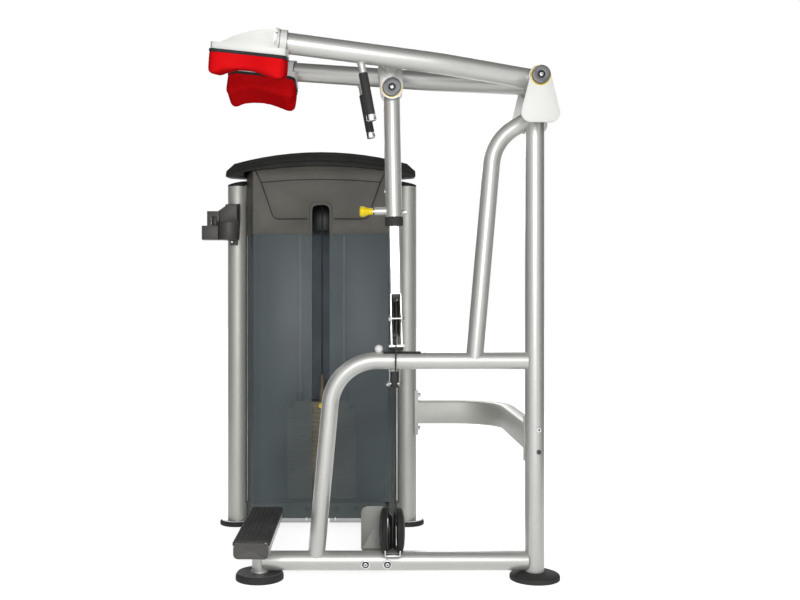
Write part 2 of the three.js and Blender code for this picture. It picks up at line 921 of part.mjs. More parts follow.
function addLever() {
  const hubHalf = plateOuterY - plateThickness - runGap;
  const bore = axleRadius + boreGap;
  const hubProfile = [
    [bore, -hubHalf],
    [hubRadius, -hubHalf],
    [hubRadius, hubHalf],
    [bore, hubHalf],
  ];
  const hubCentre = at(0, 0, hubZ);
  addPart("hub_tube", turned(hubProfile, "y", hubCentre), silverPaint);
  addPart("hub_axle", cappedAxle(axleRadius, plateOuterY, hubCentre), darkSteel);

  const hubLine = line(at(0, -hubHalf, hubZ), at(0, hubHalf, hubZ));
  bothSides((side, sign) => {
    const path = armPath(sign);
    const bend = at(armBendX, sign * armBendY, armBendZ);
    const gripTop = bend.clone().lerp(at(armEndX, sign * armEndY, armEndZ), gripTopShare);
    const down = at(gripLeanX, 0, gripLeanZ).normalize();
    const along = (distance) => gripTop.clone().addScaledVector(down, distance);
    const sleeveTop = armRadius + gripStubLength - tubeWall * 2;
    const barEnd = sleeveTop + gripLength;
    const stub = bar(line(along(armRadius - armWall), along(barEnd)), gripBarRadius, rodSides);
    const arm = joined(pipe(path, armRadius, armWall), stub).subtract(envelope(hubLine, hubRadius));
    addPart("arm_" + side, arm, silverPaint);

    const sleeveBore = gripBarRadius + boreGap;
    const grip = turned(
      [
        [sleeveBore, 0],
        [gripRadius, 0],
        [gripRadius, gripLength],
        [gripEndRadius, gripLength],
        [gripEndRadius, gripLength + gripEndLength - gripEndWall],
        [gripEndRadius - gripEndWall / 2, gripLength + gripEndLength],
        [0, gripLength + gripEndLength],
        [0, gripLength + seatGap],
        [sleeveBore, gripLength + seatGap],
      ],
      "y",
      at(0, 0, 0),
    );
    const mesh = addPart("grip_" + side, grip, blackRubber);
    mesh.quaternion.setFromUnitVectors(at(0, 1, 0), down);
    mesh.position.copy(along(sleeveTop + seatGap));
  });
  addCrossTube();
}

// The cross tube ends on the arms' centre lines; the arms cut it to length.
function addCrossTube() {
  const earShape = bandOutline([
    [pinX, pinZ, earRadius],
    [crossX + earTopRadius - earRadius, crossZ, earTopRadius],
    [crossX - earTopRadius + earRadius, crossZ, earTopRadius],
  ]);
  const ear = (y) => prismY(earShape, y, y + earThickness, plateArcSteps);
  const reach = THREE.MathUtils.mapLinear(crossX, armBendX, armEndX, armBendY, armEndY);
  const axis = line(at(crossX, -reach, crossZ), at(crossX, reach, crossZ));
  const pinLine = line(at(pinX, -earOuterY - overrun, pinZ), at(pinX, earOuterY + overrun, pinZ));
  const cross = joined(bar(axis, crossRadius), ear(-earOuterY), ear(earOuterY - earThickness))
    .subtract(bar(axis, crossRadius - tubeWall))
    .subtract(envelope(pinLine, pinRadius))
    .subtract(envelope(armPath(-1), armRadius))
    .subtract(envelope(armPath(1), armRadius));
  addPart("cross_tube", cross, silverPaint);
}

// Shoulder pads

// A closed skin over cross-sections along X, each a ring of [y, z] points, with a flat face at each end.
function lofted(stations, sectionAt) {
  const rings = stations.map((x) => sectionAt(x).map(([y, z]) => at(x, y, z)));
  const positions = [];
  const face = (...corners) => corners.forEach((corner) => positions.push(...corner.toArray()));
  rings.slice(1).forEach((ring, i) => {
    const before = rings[i];
    ring.forEach((point, k) => {
      const next = (k + 1) % ring.length;
      face(before[k], before[next], point);
      face(before[next], ring[next], point);
    });
  });
  const contour = (ring) => ring.map((point) => new THREE.Vector2(point.y, point.z));
  const lid = (ring) => THREE.ShapeUtils.triangulateShape(contour(ring), []);
  lid(rings[0]).forEach(([a, b, c]) => face(rings[0][c], rings[0][b], rings[0][a]));
  lid(rings.at(-1)).forEach(([a, b, c]) => face(rings.at(-1)[a], rings.at(-1)[b], rings.at(-1)[c]));
  const geometry = new THREE.BufferGeometry();
  geometry.setAttribute("position", new THREE.Float32BufferAttribute(positions, 3));
  return solid(geometry);
}

// How far a round corner has drawn in at a distance past where it starts.
const drawnIn = (radius, past) =>
  past <= 0 ? 0 : radius - Math.sqrt(Math.max(0, radius * radius - past * past));

// The cushion hangs from its board: two soft lobes with an arch between them that fits a shoulder.
function cushion() {
  const halfLength = padLength / 2;
  const halfWidth = padWidth / 2;
  const archCentre = padArchCentreShare * padLength;
  const archHalf = padArchHalfShare * padLength;
  const top = -seatGap;
  const underBoard = top - boardThickness;
  const sectionAt = (x) => {
    const half = halfWidth - drawnIn(padCorner, Math.abs(x) - (halfLength - padCorner));
    const share = Math.min(1, Math.abs(x - archCentre) / archHalf);
    const arch = (padArchDepth * (1 + Math.cos(Math.PI * share))) / 2;
    const endRound = drawnIn(padEdge, Math.abs(x) - (halfLength - padEdge));
    const bottom = underBoard - padLobeDepth + arch + endRound;
    const lower = [];
    for (let k = 0; k <= padRings; k++) {
      const turn = (Math.PI / 2) * (k / padRings);
      const y = half - padEdge + padEdge * Math.cos(turn);
      lower.push([y, bottom + padEdge - padEdge * Math.sin(turn)]);
    }
    const flat = half - padEdge;
    for (let k = 1; k < padRings; k++) {
      const y = flat * (1 - k / padRings);
      lower.push([y, bottom - padCrown * Math.cos((Math.PI / 2) * (y / flat))]);
    }
    const right = [[half, top], [half, underBoard], ...lower];
    const left = right.map(([y, z]) => [-y, z]).reverse();
    return [...left, [0, bottom - padCrown], ...right].toSorted(byTurn(bottom / 2));
  };
  const ends = Array.from({ length: padRings + 1 }, (_, k) => (Math.PI / 2) * (k / padRings));
  const leftEnd = ends.map((turn) => -halfLength + padCorner * (1 - Math.sin(Math.PI / 2 - turn)));
  const middle = halfLength - padCorner;
  const straight = Array.from({ length: 2 * padSteps - 1 }, (_, k) => middle * ((k + 1) / padSteps - 1));
  const rightEnd = leftEnd.map((x) => -x).reverse();
  return lofted([...leftEnd, ...straight, ...rightEnd], sectionAt);
}

// Sorts section points counter-clockwise about a point on the middle line.
const byTurn = (centre) => ([ay, az], [by, bz]) =>
  Math.atan2(az - centre, ay) - Math.atan2(bz - centre, by);

// The pan holds the board; a gusset and a flange carry it on the clamp round the arm's end.
function padBracket(armStart, armEnd) {
  const half = panLength / 2;
  const pan = prismZ(roundedRect(panLength, panWidth, panCorner), 0, panHeight);
  const inside = roundedRect(panLength - 2 * panWall, panWidth - 2 * panWall, panCorner - panWall);
  const tray = pan.subtract(prismZ(inside, -overrun, panHeight - panWall));
  const direction = armStart.clone().sub(armEnd).normalize();
  const along = (distance) => armEnd.clone().addScaledVector(direction, distance);
  const clamp = bar(line(along(-flangeThickness), along(clampLength)), armRadius + clampWall);
  const flangeX = along(-flangeThickness).x;
  const flangeTop = armEnd.z + flangeTopRise;
  const flangeShape = bandOutline([
    [armEnd.y - flangeHalfWidth, panHeight, weldDepth],
    [armEnd.y + flangeHalfWidth, panHeight, weldDepth],
    [armEnd.y, armEnd.z, flangeTopRise],
  ]);
  const flange = prismX(flangeShape, flangeX - flangeThickness / 2, flangeX + flangeThickness / 2);
  const tipX = -half + panCorner;
  const webBottom = panHeight - weldDepth;
  const web = new THREE.Shape()
    .moveTo(tipX, webBottom)
    .lineTo(flangeX, webBottom)
    .lineTo(flangeX, flangeTop - gussetThickness)
    .quadraticCurveTo((tipX + flangeX) / 2, flangeTop - gussetThickness, tipX, panHeight + gussetTipHeight);
  const y = armEnd.y / 2;
  const gusset = prismY(web, y - gussetThickness / 2, y + gussetThickness / 2, plateArcSteps);
  const socket = envelope(line(along(-seatGap), armStart), armRadius, boreGap);
  const bore = bar(line(along(-flangeThickness - overrun), along(overrun)), armRadius - armWall);
  const board = box(-padLength, padLength / 2 + runGap, -padWidth, padWidth, -padWidth, 0);
  return joined(tray, flange, clamp, gusset).subtract(socket).subtract(bore).subtract(board);
}

function addPads() {
  bothSides((side, sign) => {
    const frame = new THREE.Group();
    frame.position.set(padX, sign * padY, padZ);
    frame.rotation.set(-sign * padRoll, padPitch, 0);
    group.add(frame);
    frame.updateMatrixWorld(true);
    const local = (x, y, z) => frame.worldToLocal(at(x, sign * y, z));
    const armStart = local(armBendX, armBendY, armBendZ);
    const armEnd = local(armEndX, armEndY, armEndZ);
    addPart("pad_bracket_" + side, padBracket(armStart, armEnd), silverPaint, frame);
    addPart("pad_" + side, cushion(), redVinyl, frame);
  });
}

// Push rod

const linkFrame = new THREE.Group();
linkFrame.position.set(pinX, 0, pinZ);
linkFrame.rotation.y = -rodLean;
group.add(linkFrame);
linkFrame.updateMatrixWorld(true);
const wheelCentre = linkFrame.localToWorld(at(0, 0, -wheelDrop));

function addPushRod() {
  const tubeEnd = at(0, 0, -linkTubeLength);
  const bearingHalf = earOuterY - earThickness - runGap;
  const bearingLine = line(at(0, -bearingHalf, 0), at(0, bearingHalf, 0));
  const pinLine = line(at(0, -bearingHalf - overrun, 0), at(0, bearingHalf + overrun, 0));
  const plungerLine = line(at(-barrelReach - overrun, 0, -pullDrop), at(0, 0, -pullDrop));
  const barrel = bar(
    line(at(-barrelReach, 0, -pullDrop), at(linkTubeWall - linkTubeRadius, 0, -pullDrop)),
    barrelRadius,
    rodSides,
  );
  const upper = joined(
    pipe(line(at(0, 0, 0), tubeEnd), linkTubeRadius, linkTubeWall),
    bar(bearingLine, bearingRadius),
    barrel,
  )
    .subtract(bar(pinLine, pinRadius + boreGap, rodSides))
    .subtract(bar(plungerLine, plungerRadius + boreGap, rodSides));
  addPart("link_tube", upper, silverPaint, linkFrame);

  const collarTop = -linkTubeLength + linkCollarSocket;
  const collarBottom = -linkTubeLength - (linkCollarHeight - linkCollarSocket);
  const upright = (radius, z0, z1) => bar(line(at(0, 0, z0), at(0, 0, z1)), radius);
  const squareHole = rodSide + 2 * boreGap;
  const collar = upright(linkCollarRadius, collarBottom, collarTop)
    .subtract(upright(linkTubeRadius + seatGap, -linkTubeLength - seatGap, collarTop + overrun))
    .subtract(prismZ(roundedRect(squareHole, squareHole, rodCorner), collarBottom - overrun, collarTop));
  addPart("link_collar", collar, blackRubber, linkFrame);

  addPart("link_rod", slidingRod(), satinChrome, linkFrame);
  addPart("link_wheel", cableWheel("x", at(0, 0, -wheelDrop)), blackRubber, linkFrame);
  addPart("link_stop", rubberStop(), blackRubber, linkFrame);
  addPart("pull_pin", pullPin(), yellowPlastic, linkFrame);

  const axle = cappedAxle(pinRadius, earOuterY, at(0, 0, 0));
  addPart("link_axle", axle, darkSteel, linkFrame);
}

// The square inner tube, drilled for the pull pin, with the strap fork of its cable wheel.
function slidingRod() {
  const outerHalf = forkInnerHalf + forkWall;
  const section = boxSection(rodSide, rodSide, rodCorner, rodWall);
  const stem = prismZ(section, -forkTopDrop - weldDepth / 2, -rodTopDrop);
  const hole = (z) =>
    bar(line(at(-rodSide, 0, z), at(0, 0, z)), plungerRadius + boreGap, cableSides);
  const holes = [];
  for (let k = -pinHolesAbove; k <= pinHolesBelow; k++) holes.push(hole(-pullDrop - k * pinHolePitch));
  const top = -forkTopDrop;
  const bottom = -stopPlateDrop;
  const bend = forkCorner;
  const strap = new THREE.Shape()
    .moveTo(-outerHalf, bottom)
    .lineTo(-outerHalf, top - bend)
    .absarc(-outerHalf + bend, top - bend, bend, Math.PI, Math.PI / 2, true)
    .absarc(outerHalf - bend, top - bend, bend, Math.PI / 2, 0, true)
    .lineTo(outerHalf, bottom)
    .lineTo(forkInnerHalf, bottom)
    .lineTo(forkInnerHalf, top - bend)
    .absarc(outerHalf - bend, top - bend, bend - forkWall, 0, Math.PI / 2)
    .absarc(-outerHalf + bend, top - bend, bend - forkWall, Math.PI / 2, Math.PI)
    .lineTo(-forkInnerHalf, bottom);
  const fork = prismY(strap, -forkDepth / 2, forkDepth / 2);
  const plate = box(
    -stopPlateWidth / 2, stopPlateWidth / 2,
    -stopPlateWidth / 2, stopPlateWidth / 2,
    bottom - stopPlateThickness, bottom + weldDepth / 2,
  );
  const across = (from, to) => line(at(from, 0, -wheelDrop), at(to, 0, -wheelDrop));
  const axle = bar(across(-outerHalf, outerHalf), wheelAxleRadius, rodSides);
  const head = (x) => bar(across(x, x + wheelAxleHeadLength), wheelAxleHeadRadius, hexSides);
  return joined(stem.subtract(joined(...holes)), fork, plate, axle, head(outerHalf - weldDepth / 2),
    head(-outerHalf - wheelAxleHeadLength + weldDepth / 2));
}

// The tapered rubber stop; its flat foot comes down on the saddle on the middle tube.
function rubberStop() {
  const top = -stopPlateDrop - stopPlateThickness - seatGap;
  const foot = midZ + saddleRadius + stopClearance - pinZ;
  const profile = [
    [0, foot],
    [stopBaseRadius, foot],
    [stopTopRadius, top],
    [0, top],
  ];
  return turned(profile, "z", at(0, 0, 0));
}

function pullPin() {
  const knobStart = -barrelReach - runGap;
  const inner = -rodSide / 2 + rodWall / 2;
  const profile = [
    [0, inner],
    [plungerRadius, inner],
    [plungerRadius, knobStart],
    [pullNeckRadius, knobStart],
    [pullNeckRadius, knobStart - pullKnobLength * pullNeckShare],
    [pullFlareRadius, knobStart - pullKnobLength * pullFlareShare],
    [pullFlareRadius, knobStart - pullKnobLength * pullRoundShare],
    [pullNeckRadius, knobStart - pullKnobLength],
    [0, knobStart - pullKnobLength],
  ].reverse();
  return turned(profile, "x", at(0, 0, -pullDrop), rodSides);
}

// The saddle that the stop lands on hugs the top of the middle tube; a ball knob stands at its left end.
const saddleRadius = midRadius + seatGap + saddleWall;

function addRestSaddle() {
  const arc = new THREE.Shape()
    .absarc(0, 0, saddleRadius, Math.PI / 2 - saddleHalfAngle, Math.PI / 2 + saddleHalfAngle)
    .absarc(0, 0, midRadius + seatGap, Math.PI / 2 + saddleHalfAngle, Math.PI / 2 - saddleHalfAngle, true);
  const shell = moved(prismX(arc, saddleLeft, saddleRight, plateArcSteps), 0, 0, midZ);
  addPart("rest_saddle", shell, blackRubber);

  const ballCentre = at(ballX, 0, ballZ);
  const sphere = new THREE.SphereGeometry(ballRadius, rodSides, rodSides / 2);
  const ball = solid(sphere.translate(ballX, 0, ballZ));
  const stem = bar(line(ballCentre, at(ballX, 0, midZ)), ballStemRadius, cableSides);
  addPart("rest_knob", joined(ball, stem).subtract(midEnvelope), whitePlastic);
}

// Cable wheels and cable

const lowRun = cableWheelZ - wheelPitch;
const rearWheel = at(cableX, towerY - rearWheelPitch, lowRun + rearWheelPitch);
const topWheels = [
  ["left", at(towerX + wheelPitch, towerY, topWheelZ)],
  ["right", at(cableX - wheelPitch, towerY, topWheelZ)],
];

function addCableWheels() {
  addPart("front_wheel", cableWheel("x", at(cableX, 0, cableWheelZ)), blackRubber);
  addPart("rear_wheel", cableWheel("x", rearWheel, rearWheelPitch), blackRubber);
  topWheels.forEach(([side, centre]) =>
    addPart("top_wheel_" + side, cableWheel("y", centre), blackRubber),
  );
  addPart("wheel_guards", wheelGuards(), darkPlastic);
}

// Two dished guards on one axle, outside the bracket; their lower edges clear the bracket and the tube.
function wheelGuards() {
  const shellRadius = guardRadius - guardWall;
  const crown = guardOuterHalf;
  const lip = guardInnerHalf + guardRimLength;
  const middle = (lip + 2 * crown) / 3;
  const outer = [
    [guardRadius, guardInnerHalf],
    [guardRadius, lip],
    [guardRadius * guardShoulderShare, middle],
    [guardRadius * guardCrownShare, crown],
  ];
  const inner = [
    [wheelAxleRadius, crown - guardWall],
    [guardRadius * guardCrownShare - guardWall, crown - guardWall],
    [shellRadius * guardShoulderShare, middle - guardWall],
    [shellRadius, lip],
    [shellRadius, guardInnerHalf],
  ];
  const right = [...inner, ...outer, [0, crown]];
  const left = right.map(([r, h]) => [r, -h]).reverse();
  const centre = at(cableX, 0, cableWheelZ);
  const whole = turned([...left, ...right], "x", centre, guardSides);
  const outerX = bracketInnerHalf + bracketWall + runGap;
  const clear = bracketHalfLength + runGap;
  const floorTop = baseZ + baseRadius + bracketWall + runGap;
  const floor = box(cableX - outerX, cableX + outerX, -clear, clear, baseZ, floorTop);
  return whole.subtract(floor).subtract(envelope(baseLine, baseRadius, runGap));
}

function addCable() {
  const step = Math.PI / 2 / cableWheelSteps;
  const cord = (points, radii = wheelPitch) =>
    bar(new BentPath(points, radii, step), cableRadius, cableSides);
  const y = towerY;
  const topRun = topWheelZ + wheelPitch;
  const mainRun = [
    at(towerX, y, topWheelZ),
    at(towerX, y, topRun),
    at(cableX, y, topRun),
    at(cableX, y, lowRun),
    at(cableX, -wheelPitch, lowRun),
    at(cableX, -wheelPitch, cableWheelZ),
  ];
  const radii = mainRun.map((corner) => (corner.y > 0 && corner.z === lowRun ? rearWheelPitch : wheelPitch));
  addPart("cable_main", cord(mainRun, radii), blackRubber);
  const stackRun = [at(towerX, y, stemTop + seatGap), at(towerX, y, topWheelZ - seatGap)];
  addPart("cable_stack", cord(stackRun), blackRubber);
  const front = wheelCentre.clone().setY(-wheelPitch);
  const back = wheelCentre.clone().setY(wheelPitch);
  const below = (point) => point.clone().setZ(point.z - 2 * seatGap);
  const frontFoot = at(cableX, -wheelPitch, cableWheelZ + 2 * seatGap);
  const backFoot = at(anchorX, wheelPitch, anchorZ + anchorBlockHeight / 2 + seatGap);
  addPart("cable_front_run", cord([frontFoot, below(front)]), blackRubber);
  addPart("cable_back_run", cord([backFoot, below(back)]), blackRubber);
  const z = -wheelDrop;
  addPart(
    "cable_link_wrap",
    cord([
      at(0, -wheelPitch, z),
      at(0, -wheelPitch, z + wheelPitch),
      at(0, wheelPitch, z + wheelPitch),
      at(0, wheelPitch, z),
    ]),
    blackRubber,
    linkFrame,
  );
}

// Weight tower

const columns = [["left", -1], ["right", 1]];
const columnX = (sign) => towerX + sign * columnSpread;
const columnLine = (sign) =>
  line(at(columnX(sign), towerY, 0), at(columnX(sign), towerY, columnTop + capHigh));
const columnEnvelope = (sign, gap = seatGap) => envelope(columnLine(sign), columnRadius, gap);

function addColumns() {
  const bore = columnRadius - tubeWall;
  const profile = [
    [bore, 0],
    [columnFootRadius, 0],
    [columnFootRadius, columnFootHeight - columnDiscRise],
    [columnDiscRadius, columnFootHeight - columnDiscRise],
    [columnDiscRadius, columnFootHeight],
    [columnRadius, columnFootHeight],
    [columnRadius, columnTop],
    [bore, columnTop],
  ];
  columns.forEach(([side, sign]) => {
    const tube = turned(profile, "z", at(0, 0, 0));
    const cap = bar(line(at(0, 0, columnTop - weldDepth), at(0, 0, columnTop + capHigh)), columnRadius);
    const reach = columnRadius + overrun;
    const slope = (capHigh - capLow) / (2 * columnRadius);
    const over = (x) => columnTop + capLow + slope * (columnRadius - sign * x);
    const wedge = prismY(
      outline([
        [-reach, over(-reach)],
        [reach, over(reach)],
        [reach, columnTop + 2 * capHigh],
        [-reach, columnTop + 2 * capHigh],
      ]),
      -reach,
      reach,
    );
    const column = joined(tube, cap.subtract(wedge));
    addPart("column_" + side, column, silverPaint).position.set(columnX(sign), towerY, 0);
  });
}

// The bottom beam between the columns carries the strap fork of the rear cable wheel.
function addSill() {
  const section = boxSection(sillDepth, sillHeight, sillCorner, sillWall);
  const beam = moved(prismX(section, columnX(-1), columnX(1)), 0, towerY, sillBottom + sillHeight / 2);
  const sillTop = sillBottom + sillHeight;
  const footRadius = sillCorner;
  const legOutline = bandOutline([
    [rearWheel.y, rearWheel.z, rearForkRadius],
    [towerY - sillDepth / 2 + footRadius, sillTop + footRadius - weldDepth, footRadius],
    [towerY - sillDepth / 2 + rearForkFoot, sillTop + footRadius - weldDepth, footRadius],
  ]);
  const outer = rearForkInner + rearForkWall;
  const leg = (x) => prismX(legOutline, x, x + rearForkWall);
  const axle = bar(
    line(at(cableX - outer, rearWheel.y, rearWheel.z), at(cableX + outer, rearWheel.y, rearWheel.z)),
    wheelAxleRadius,
    rodSides,
  );
  const sill = joined(beam, leg(cableX - outer), leg(cableX + rearForkInner), axle)
    .subtract(columnEnvelope(-1))
    .subtract(columnEnvelope(1));
  addPart("tower_sill", sill, darkSteel);
}

// Two upright plates between the columns hold the top wheels and the guide rods' upper ends.
function addTopFrame() {
  const inner = topPlateGapHalf;
  const plate = (y) =>
    box(columnX(-1), columnX(1), y, y + topPlateThickness, topPlateBottom, topPlateTop);
  const reach = at(0, inner + weldDepth, 0);
  const axle = (centre) =>
    bar(line(centre.clone().sub(reach), centre.clone().add(reach)), wheelAxleRadius, rodSides);
  const block = (sign) =>
    box(
      towerX + sign * guideSpread - rodBlockWidth / 2, towerX + sign * guideSpread + rodBlockWidth / 2,
      towerY - inner - weldDepth, towerY + inner + weldDepth,
      topPlateBottom - rodBlockHeight, topPlateBottom - rodBlockSink,
    );
  const blockPlate = (sign, y) =>
    box(
      towerX + sign * guideSpread - rodBlockWidth / 2, towerX + sign * guideSpread + rodBlockWidth / 2,
      y, y + topPlateThickness,
      topPlateBottom - rodBlockHeight, topPlateBottom + weldDepth,
    );
  const front = towerY - inner - topPlateThickness;
  const back = towerY + inner;
  const whole = joined(
    plate(front), plate(back),
    ...topWheels.map(([, centre]) => axle(centre)),
    ...[-1, 1].flatMap((sign) => [block(sign), blockPlate(sign, front), blockPlate(sign, back)]),
  ).subtract(columnEnvelope(-1)).subtract(columnEnvelope(1));
  addPart("top_frame", whole, darkSteel);
}

// Points of a circular arch from left to right between two equal ends.
function arch(half, endZ, middleZ, steps = coverSteps) {
  const rise = middleZ - endZ;
  const radius = (half * half + rise * rise) / (2 * rise);
  const opening = Math.asin(half / radius);
  return Array.from({ length: steps + 1 }, (_, k) => {
    const angle = opening * ((2 * k) / steps - 1);
    return [radius * Math.sin(angle), middleZ - radius * (1 - Math.cos(angle))];
  });
}

// The arched seam between the cover and the shroud under it, which ends just outside the shroud.
const seamHalf = shroudHalfBack + runGap;
const coverEdge = (gap = 0) =>
  arch(seamHalf, headerPeak - headerEndDrop, headerPeak).map(([x, z]) => [x, z - gap]);

// The shroud's plan from one back corner round the front to the other, and its sheet's outline.
const shroudPlan = (front, back, shoulder) => [
  [-shroudHalfBack, back],
  [-shroudHalfBack, shoulder],
  [-shroudHalfFront, front],
  [shroudHalfFront, front],
  [shroudHalfBack, shoulder],
  [shroudHalfBack, back],
];

// The room below the cover, and the room that the tower's cross members need through the shroud.
function underCover() {
  const foot = panelBottom - overrun;
  return prismY(
    outline([[-seamHalf, foot], [seamHalf, foot], ...coverEdge(seatGap).reverse()]),
    shroudFront - surroundProud - overrun,
    shroudBack + overrun,
  );
}

function crossMembers() {
  const wide = columnSpread;
  const sillHalf = sillDepth / 2 + seatGap;
  const plateHalf = topPlateGapHalf + topPlateThickness + seatGap;
  const sillTop = sillBottom + sillHeight + seatGap;
  return joined(
    box(-wide, wide, towerY - sillHalf, towerY + sillHalf, panelBottom - overrun, sillTop),
    box(-wide, wide, towerY - plateHalf, towerY + plateHalf, topPlateBottom - seatGap, topPlateTop + seatGap),
  );
}

function addShroud() {
  const middle = towerY;
  const shoulder = shroudFront + shroudShoulder;
  const frontPlan = shroudPlan(shroudFront, middle - seatGap, shoulder);
  const slot = (half, top, corner) =>
    bandOutline([
      [-half + corner, headerBottom - overrun, corner],
      [half - corner, headerBottom - overrun, corner],
      [half - corner, top - corner, corner],
      [-half + corner, top - corner, corner],
    ]);
  const surroundHalf = slotHalf + surroundWall;
  const surroundTop = slotTop + surroundRise;
  const lining = prismY(
    slot(surroundHalf, surroundTop, slotCorner + surroundWall),
    shroudFront - surroundProud,
    shroudFront + surroundDepth,
  ).intersect(
    box(-surroundHalf, surroundHalf, shroudFront - overrun, middle, headerBottom, surroundTop),
  );
  const opening = prismY(slot(slotHalf, slotTop, slotCorner), shroudFront - overrun, middle);
  const fascia = prismY(fasciaOutline(), shroudFront - overrun, shroudFront + fasciaDepth);
  const placard = prismY(fasciaOutline(), shroudFront - overrun, shroudFront + placardDepth).intersect(
    prismY(underPlacardLine(), shroudFront - overrun, shroudFront + placardDepth),
  );
  const cover = underCover();
  const members = crossMembers();
  const header = prismZ(foldedSheet(frontPlan, headerSheet), headerBottom, headerPeak)
    .intersect(cover)
    .subtract(fascia)
    .subtract(placard)
    .subtract(members)
    .add(lining)
    .subtract(opening);
  addPart("header", header, darkPlastic).position.x = towerX;

  const backPlan = shroudPlan(shroudBack, middle + seatGap, shroudBack - shroudShoulder).reverse();
  const rear = prismZ(foldedSheet(backPlan, sheet), panelBottom, headerPeak);
  addPart("rear_cover", rear.intersect(cover).subtract(members), darkPlastic).position.x = towerX;

  addFrontPanels(frontPlan, members);
}

// The sunk field of the header's face: its foot has round corners and its flanks lean out to the top.
function fasciaOutline() {
  const r = placardCorner;
  const top = placardBottomZ + fasciaHeight;
  return bandOutline([
    [-placardHalf + r, placardBottomZ + r, r],
    [placardHalf - r, placardBottomZ + r, r],
    [fasciaTopHalf - weldDepth, top, weldDepth],
    [-fasciaTopHalf + weldDepth, top, weldDepth],
  ]);
}

// The room for the bare placard, below a shallow arch across that field.
function underPlacardLine() {
  const top = placardBottomZ + placardHeight;
  const line = arch(fasciaTopHalf, top - placardSag, top);
  const foot = placardBottomZ - overrun;
  return outline([[-fasciaTopHalf, foot], [fasciaTopHalf, foot], ...line.reverse()]);
}

function addFrontPanels(plan, members) {
  const top = headerBottom - seatGap;
  const left = prismZ(foldedSheet([...plan.slice(0, 3), [-slotHalf, shroudFront]], sheet), panelBottom, top);
  const right = prismZ(foldedSheet([[slotHalf, shroudFront], ...plan.slice(3)], sheet), panelBottom, top);
  addPart("front_panel_left", left.subtract(members), smokedAcrylic).position.x = towerX;
  const beamHalf = lowBeamWidth / 2 + notchGap;
  const beamNotch = box(
    lowBeamX - towerX - beamHalf, lowBeamX - towerX + beamHalf,
    shroudFront - overrun, shroudFront + sheet + overrun,
    panelBottom - overrun, lowBeamBottom + lowBeamHeight + notchGap,
  );
  const cableNotch = box(
    cableX - towerX - cableNotchHalf, cableX - towerX + cableNotchHalf,
    shroudFront - overrun, shroudFront + sheet + overrun,
    panelBottom - overrun, lowRun + cableNotchHalf,
  );
  const notched = right.subtract(members).subtract(beamNotch).subtract(cableNotch);
  addPart("front_panel_right", notched, smokedAcrylic).position.x = towerX;
}

// The arched top cover is a shell, open below, with a wing over each column and a stepped front edge.
function addTopCover() {
  const upper = (half, tipZ, shoulderHalf, shoulderZ, peak) =>
    [[-half, tipZ], ...arch(shoulderHalf, shoulderZ, peak), [half, tipZ]].reverse();
  const lower = [[-coverHalfLength, coverWingZ], [-seamHalf, coverWingZ], ...coverEdge(),
    [seamHalf, coverWingZ], [coverHalfLength, coverWingZ]];
  const section = (band) =>
    outline([
      ...lower,
      ...upper(
        coverHalfLength,
        coverTipZ - band / 2,
        coverShoulderHalf,
        coverShoulderZ - band,
        coverPeak - band,
      ),
    ]);
  const body = prismY(section(0), coverFront + coverStep, coverBack);
  const edge = prismY(section(coverBand), coverFront, coverFront + coverStep + weldDepth);
  const within = upper(
    seamHalf,
    coverTipZ - coverWall,
    seamHalf - coverWall,
    coverShoulderZ - coverWall,
    coverPeak - coverWall,
  );
  const hollow = prismY(
    outline([[-seamHalf, coverWingZ - overrun], [seamHalf, coverWingZ - overrun], ...within]),
    coverFront + coverLip,
    coverBack - coverLip,
  );
  const reach = coverHalfLength + overrun;
  const wingFront = coverFront + coverLip;
  const back = coverBack + overrun;
  const underWing = outline([
    [wingFront, coverWingZ - overrun],
    [back, coverWingZ - overrun],
    [back, coverWingZ + coverWingSlope * (back - wingFront)],
    [wingFront, coverWingZ],
  ]);
  const wingCuts = [prismX(underWing, -reach, -seamHalf), prismX(underWing, seamHalf, reach)];
  const corner = (sign) => {
    const points = [[seamHalf, back], [seamHalf, coverBack], [coverHalfLength, coverCornerY],
      [reach, coverCornerY], [reach, back]];
    const turned = points.map(([x, y]) => [sign * x, y]);
    return prismZ(outline(sign < 0 ? turned : turned.reverse()), columnTop, coverPeak);
  };
  const cover = joined(body, edge).subtract(hollow).subtract(joined(...wingCuts, corner(-1), corner(1)));
  addPart("top_cover", cover, darkPlastic).position.x = towerX;
}

// Weight stack

const stackTop = stackBottom + stackPlates * platePitch;
const headTop = stackTop + seatGap + headPlateHeight;
const stemTop = headTop + stemHeight + stemTipHeight;

// One side view of the pile: a notch marks the joint between each plate and the next.
function pileOutline(width) {
  const half = width / 2;
  const side = [[half, stackBottom]];
  for (let k = 1; k < stackPlates; k++) {
    const z = stackBottom + k * platePitch;
    side.push([half, z - plateChamfer], [half - plateChamfer, z], [half, z + plateChamfer]);
  }
  side.push([half, stackTop]);
  return outline([...side, ...side.map(([x, z]) => [-x, z]).reverse()]);
}

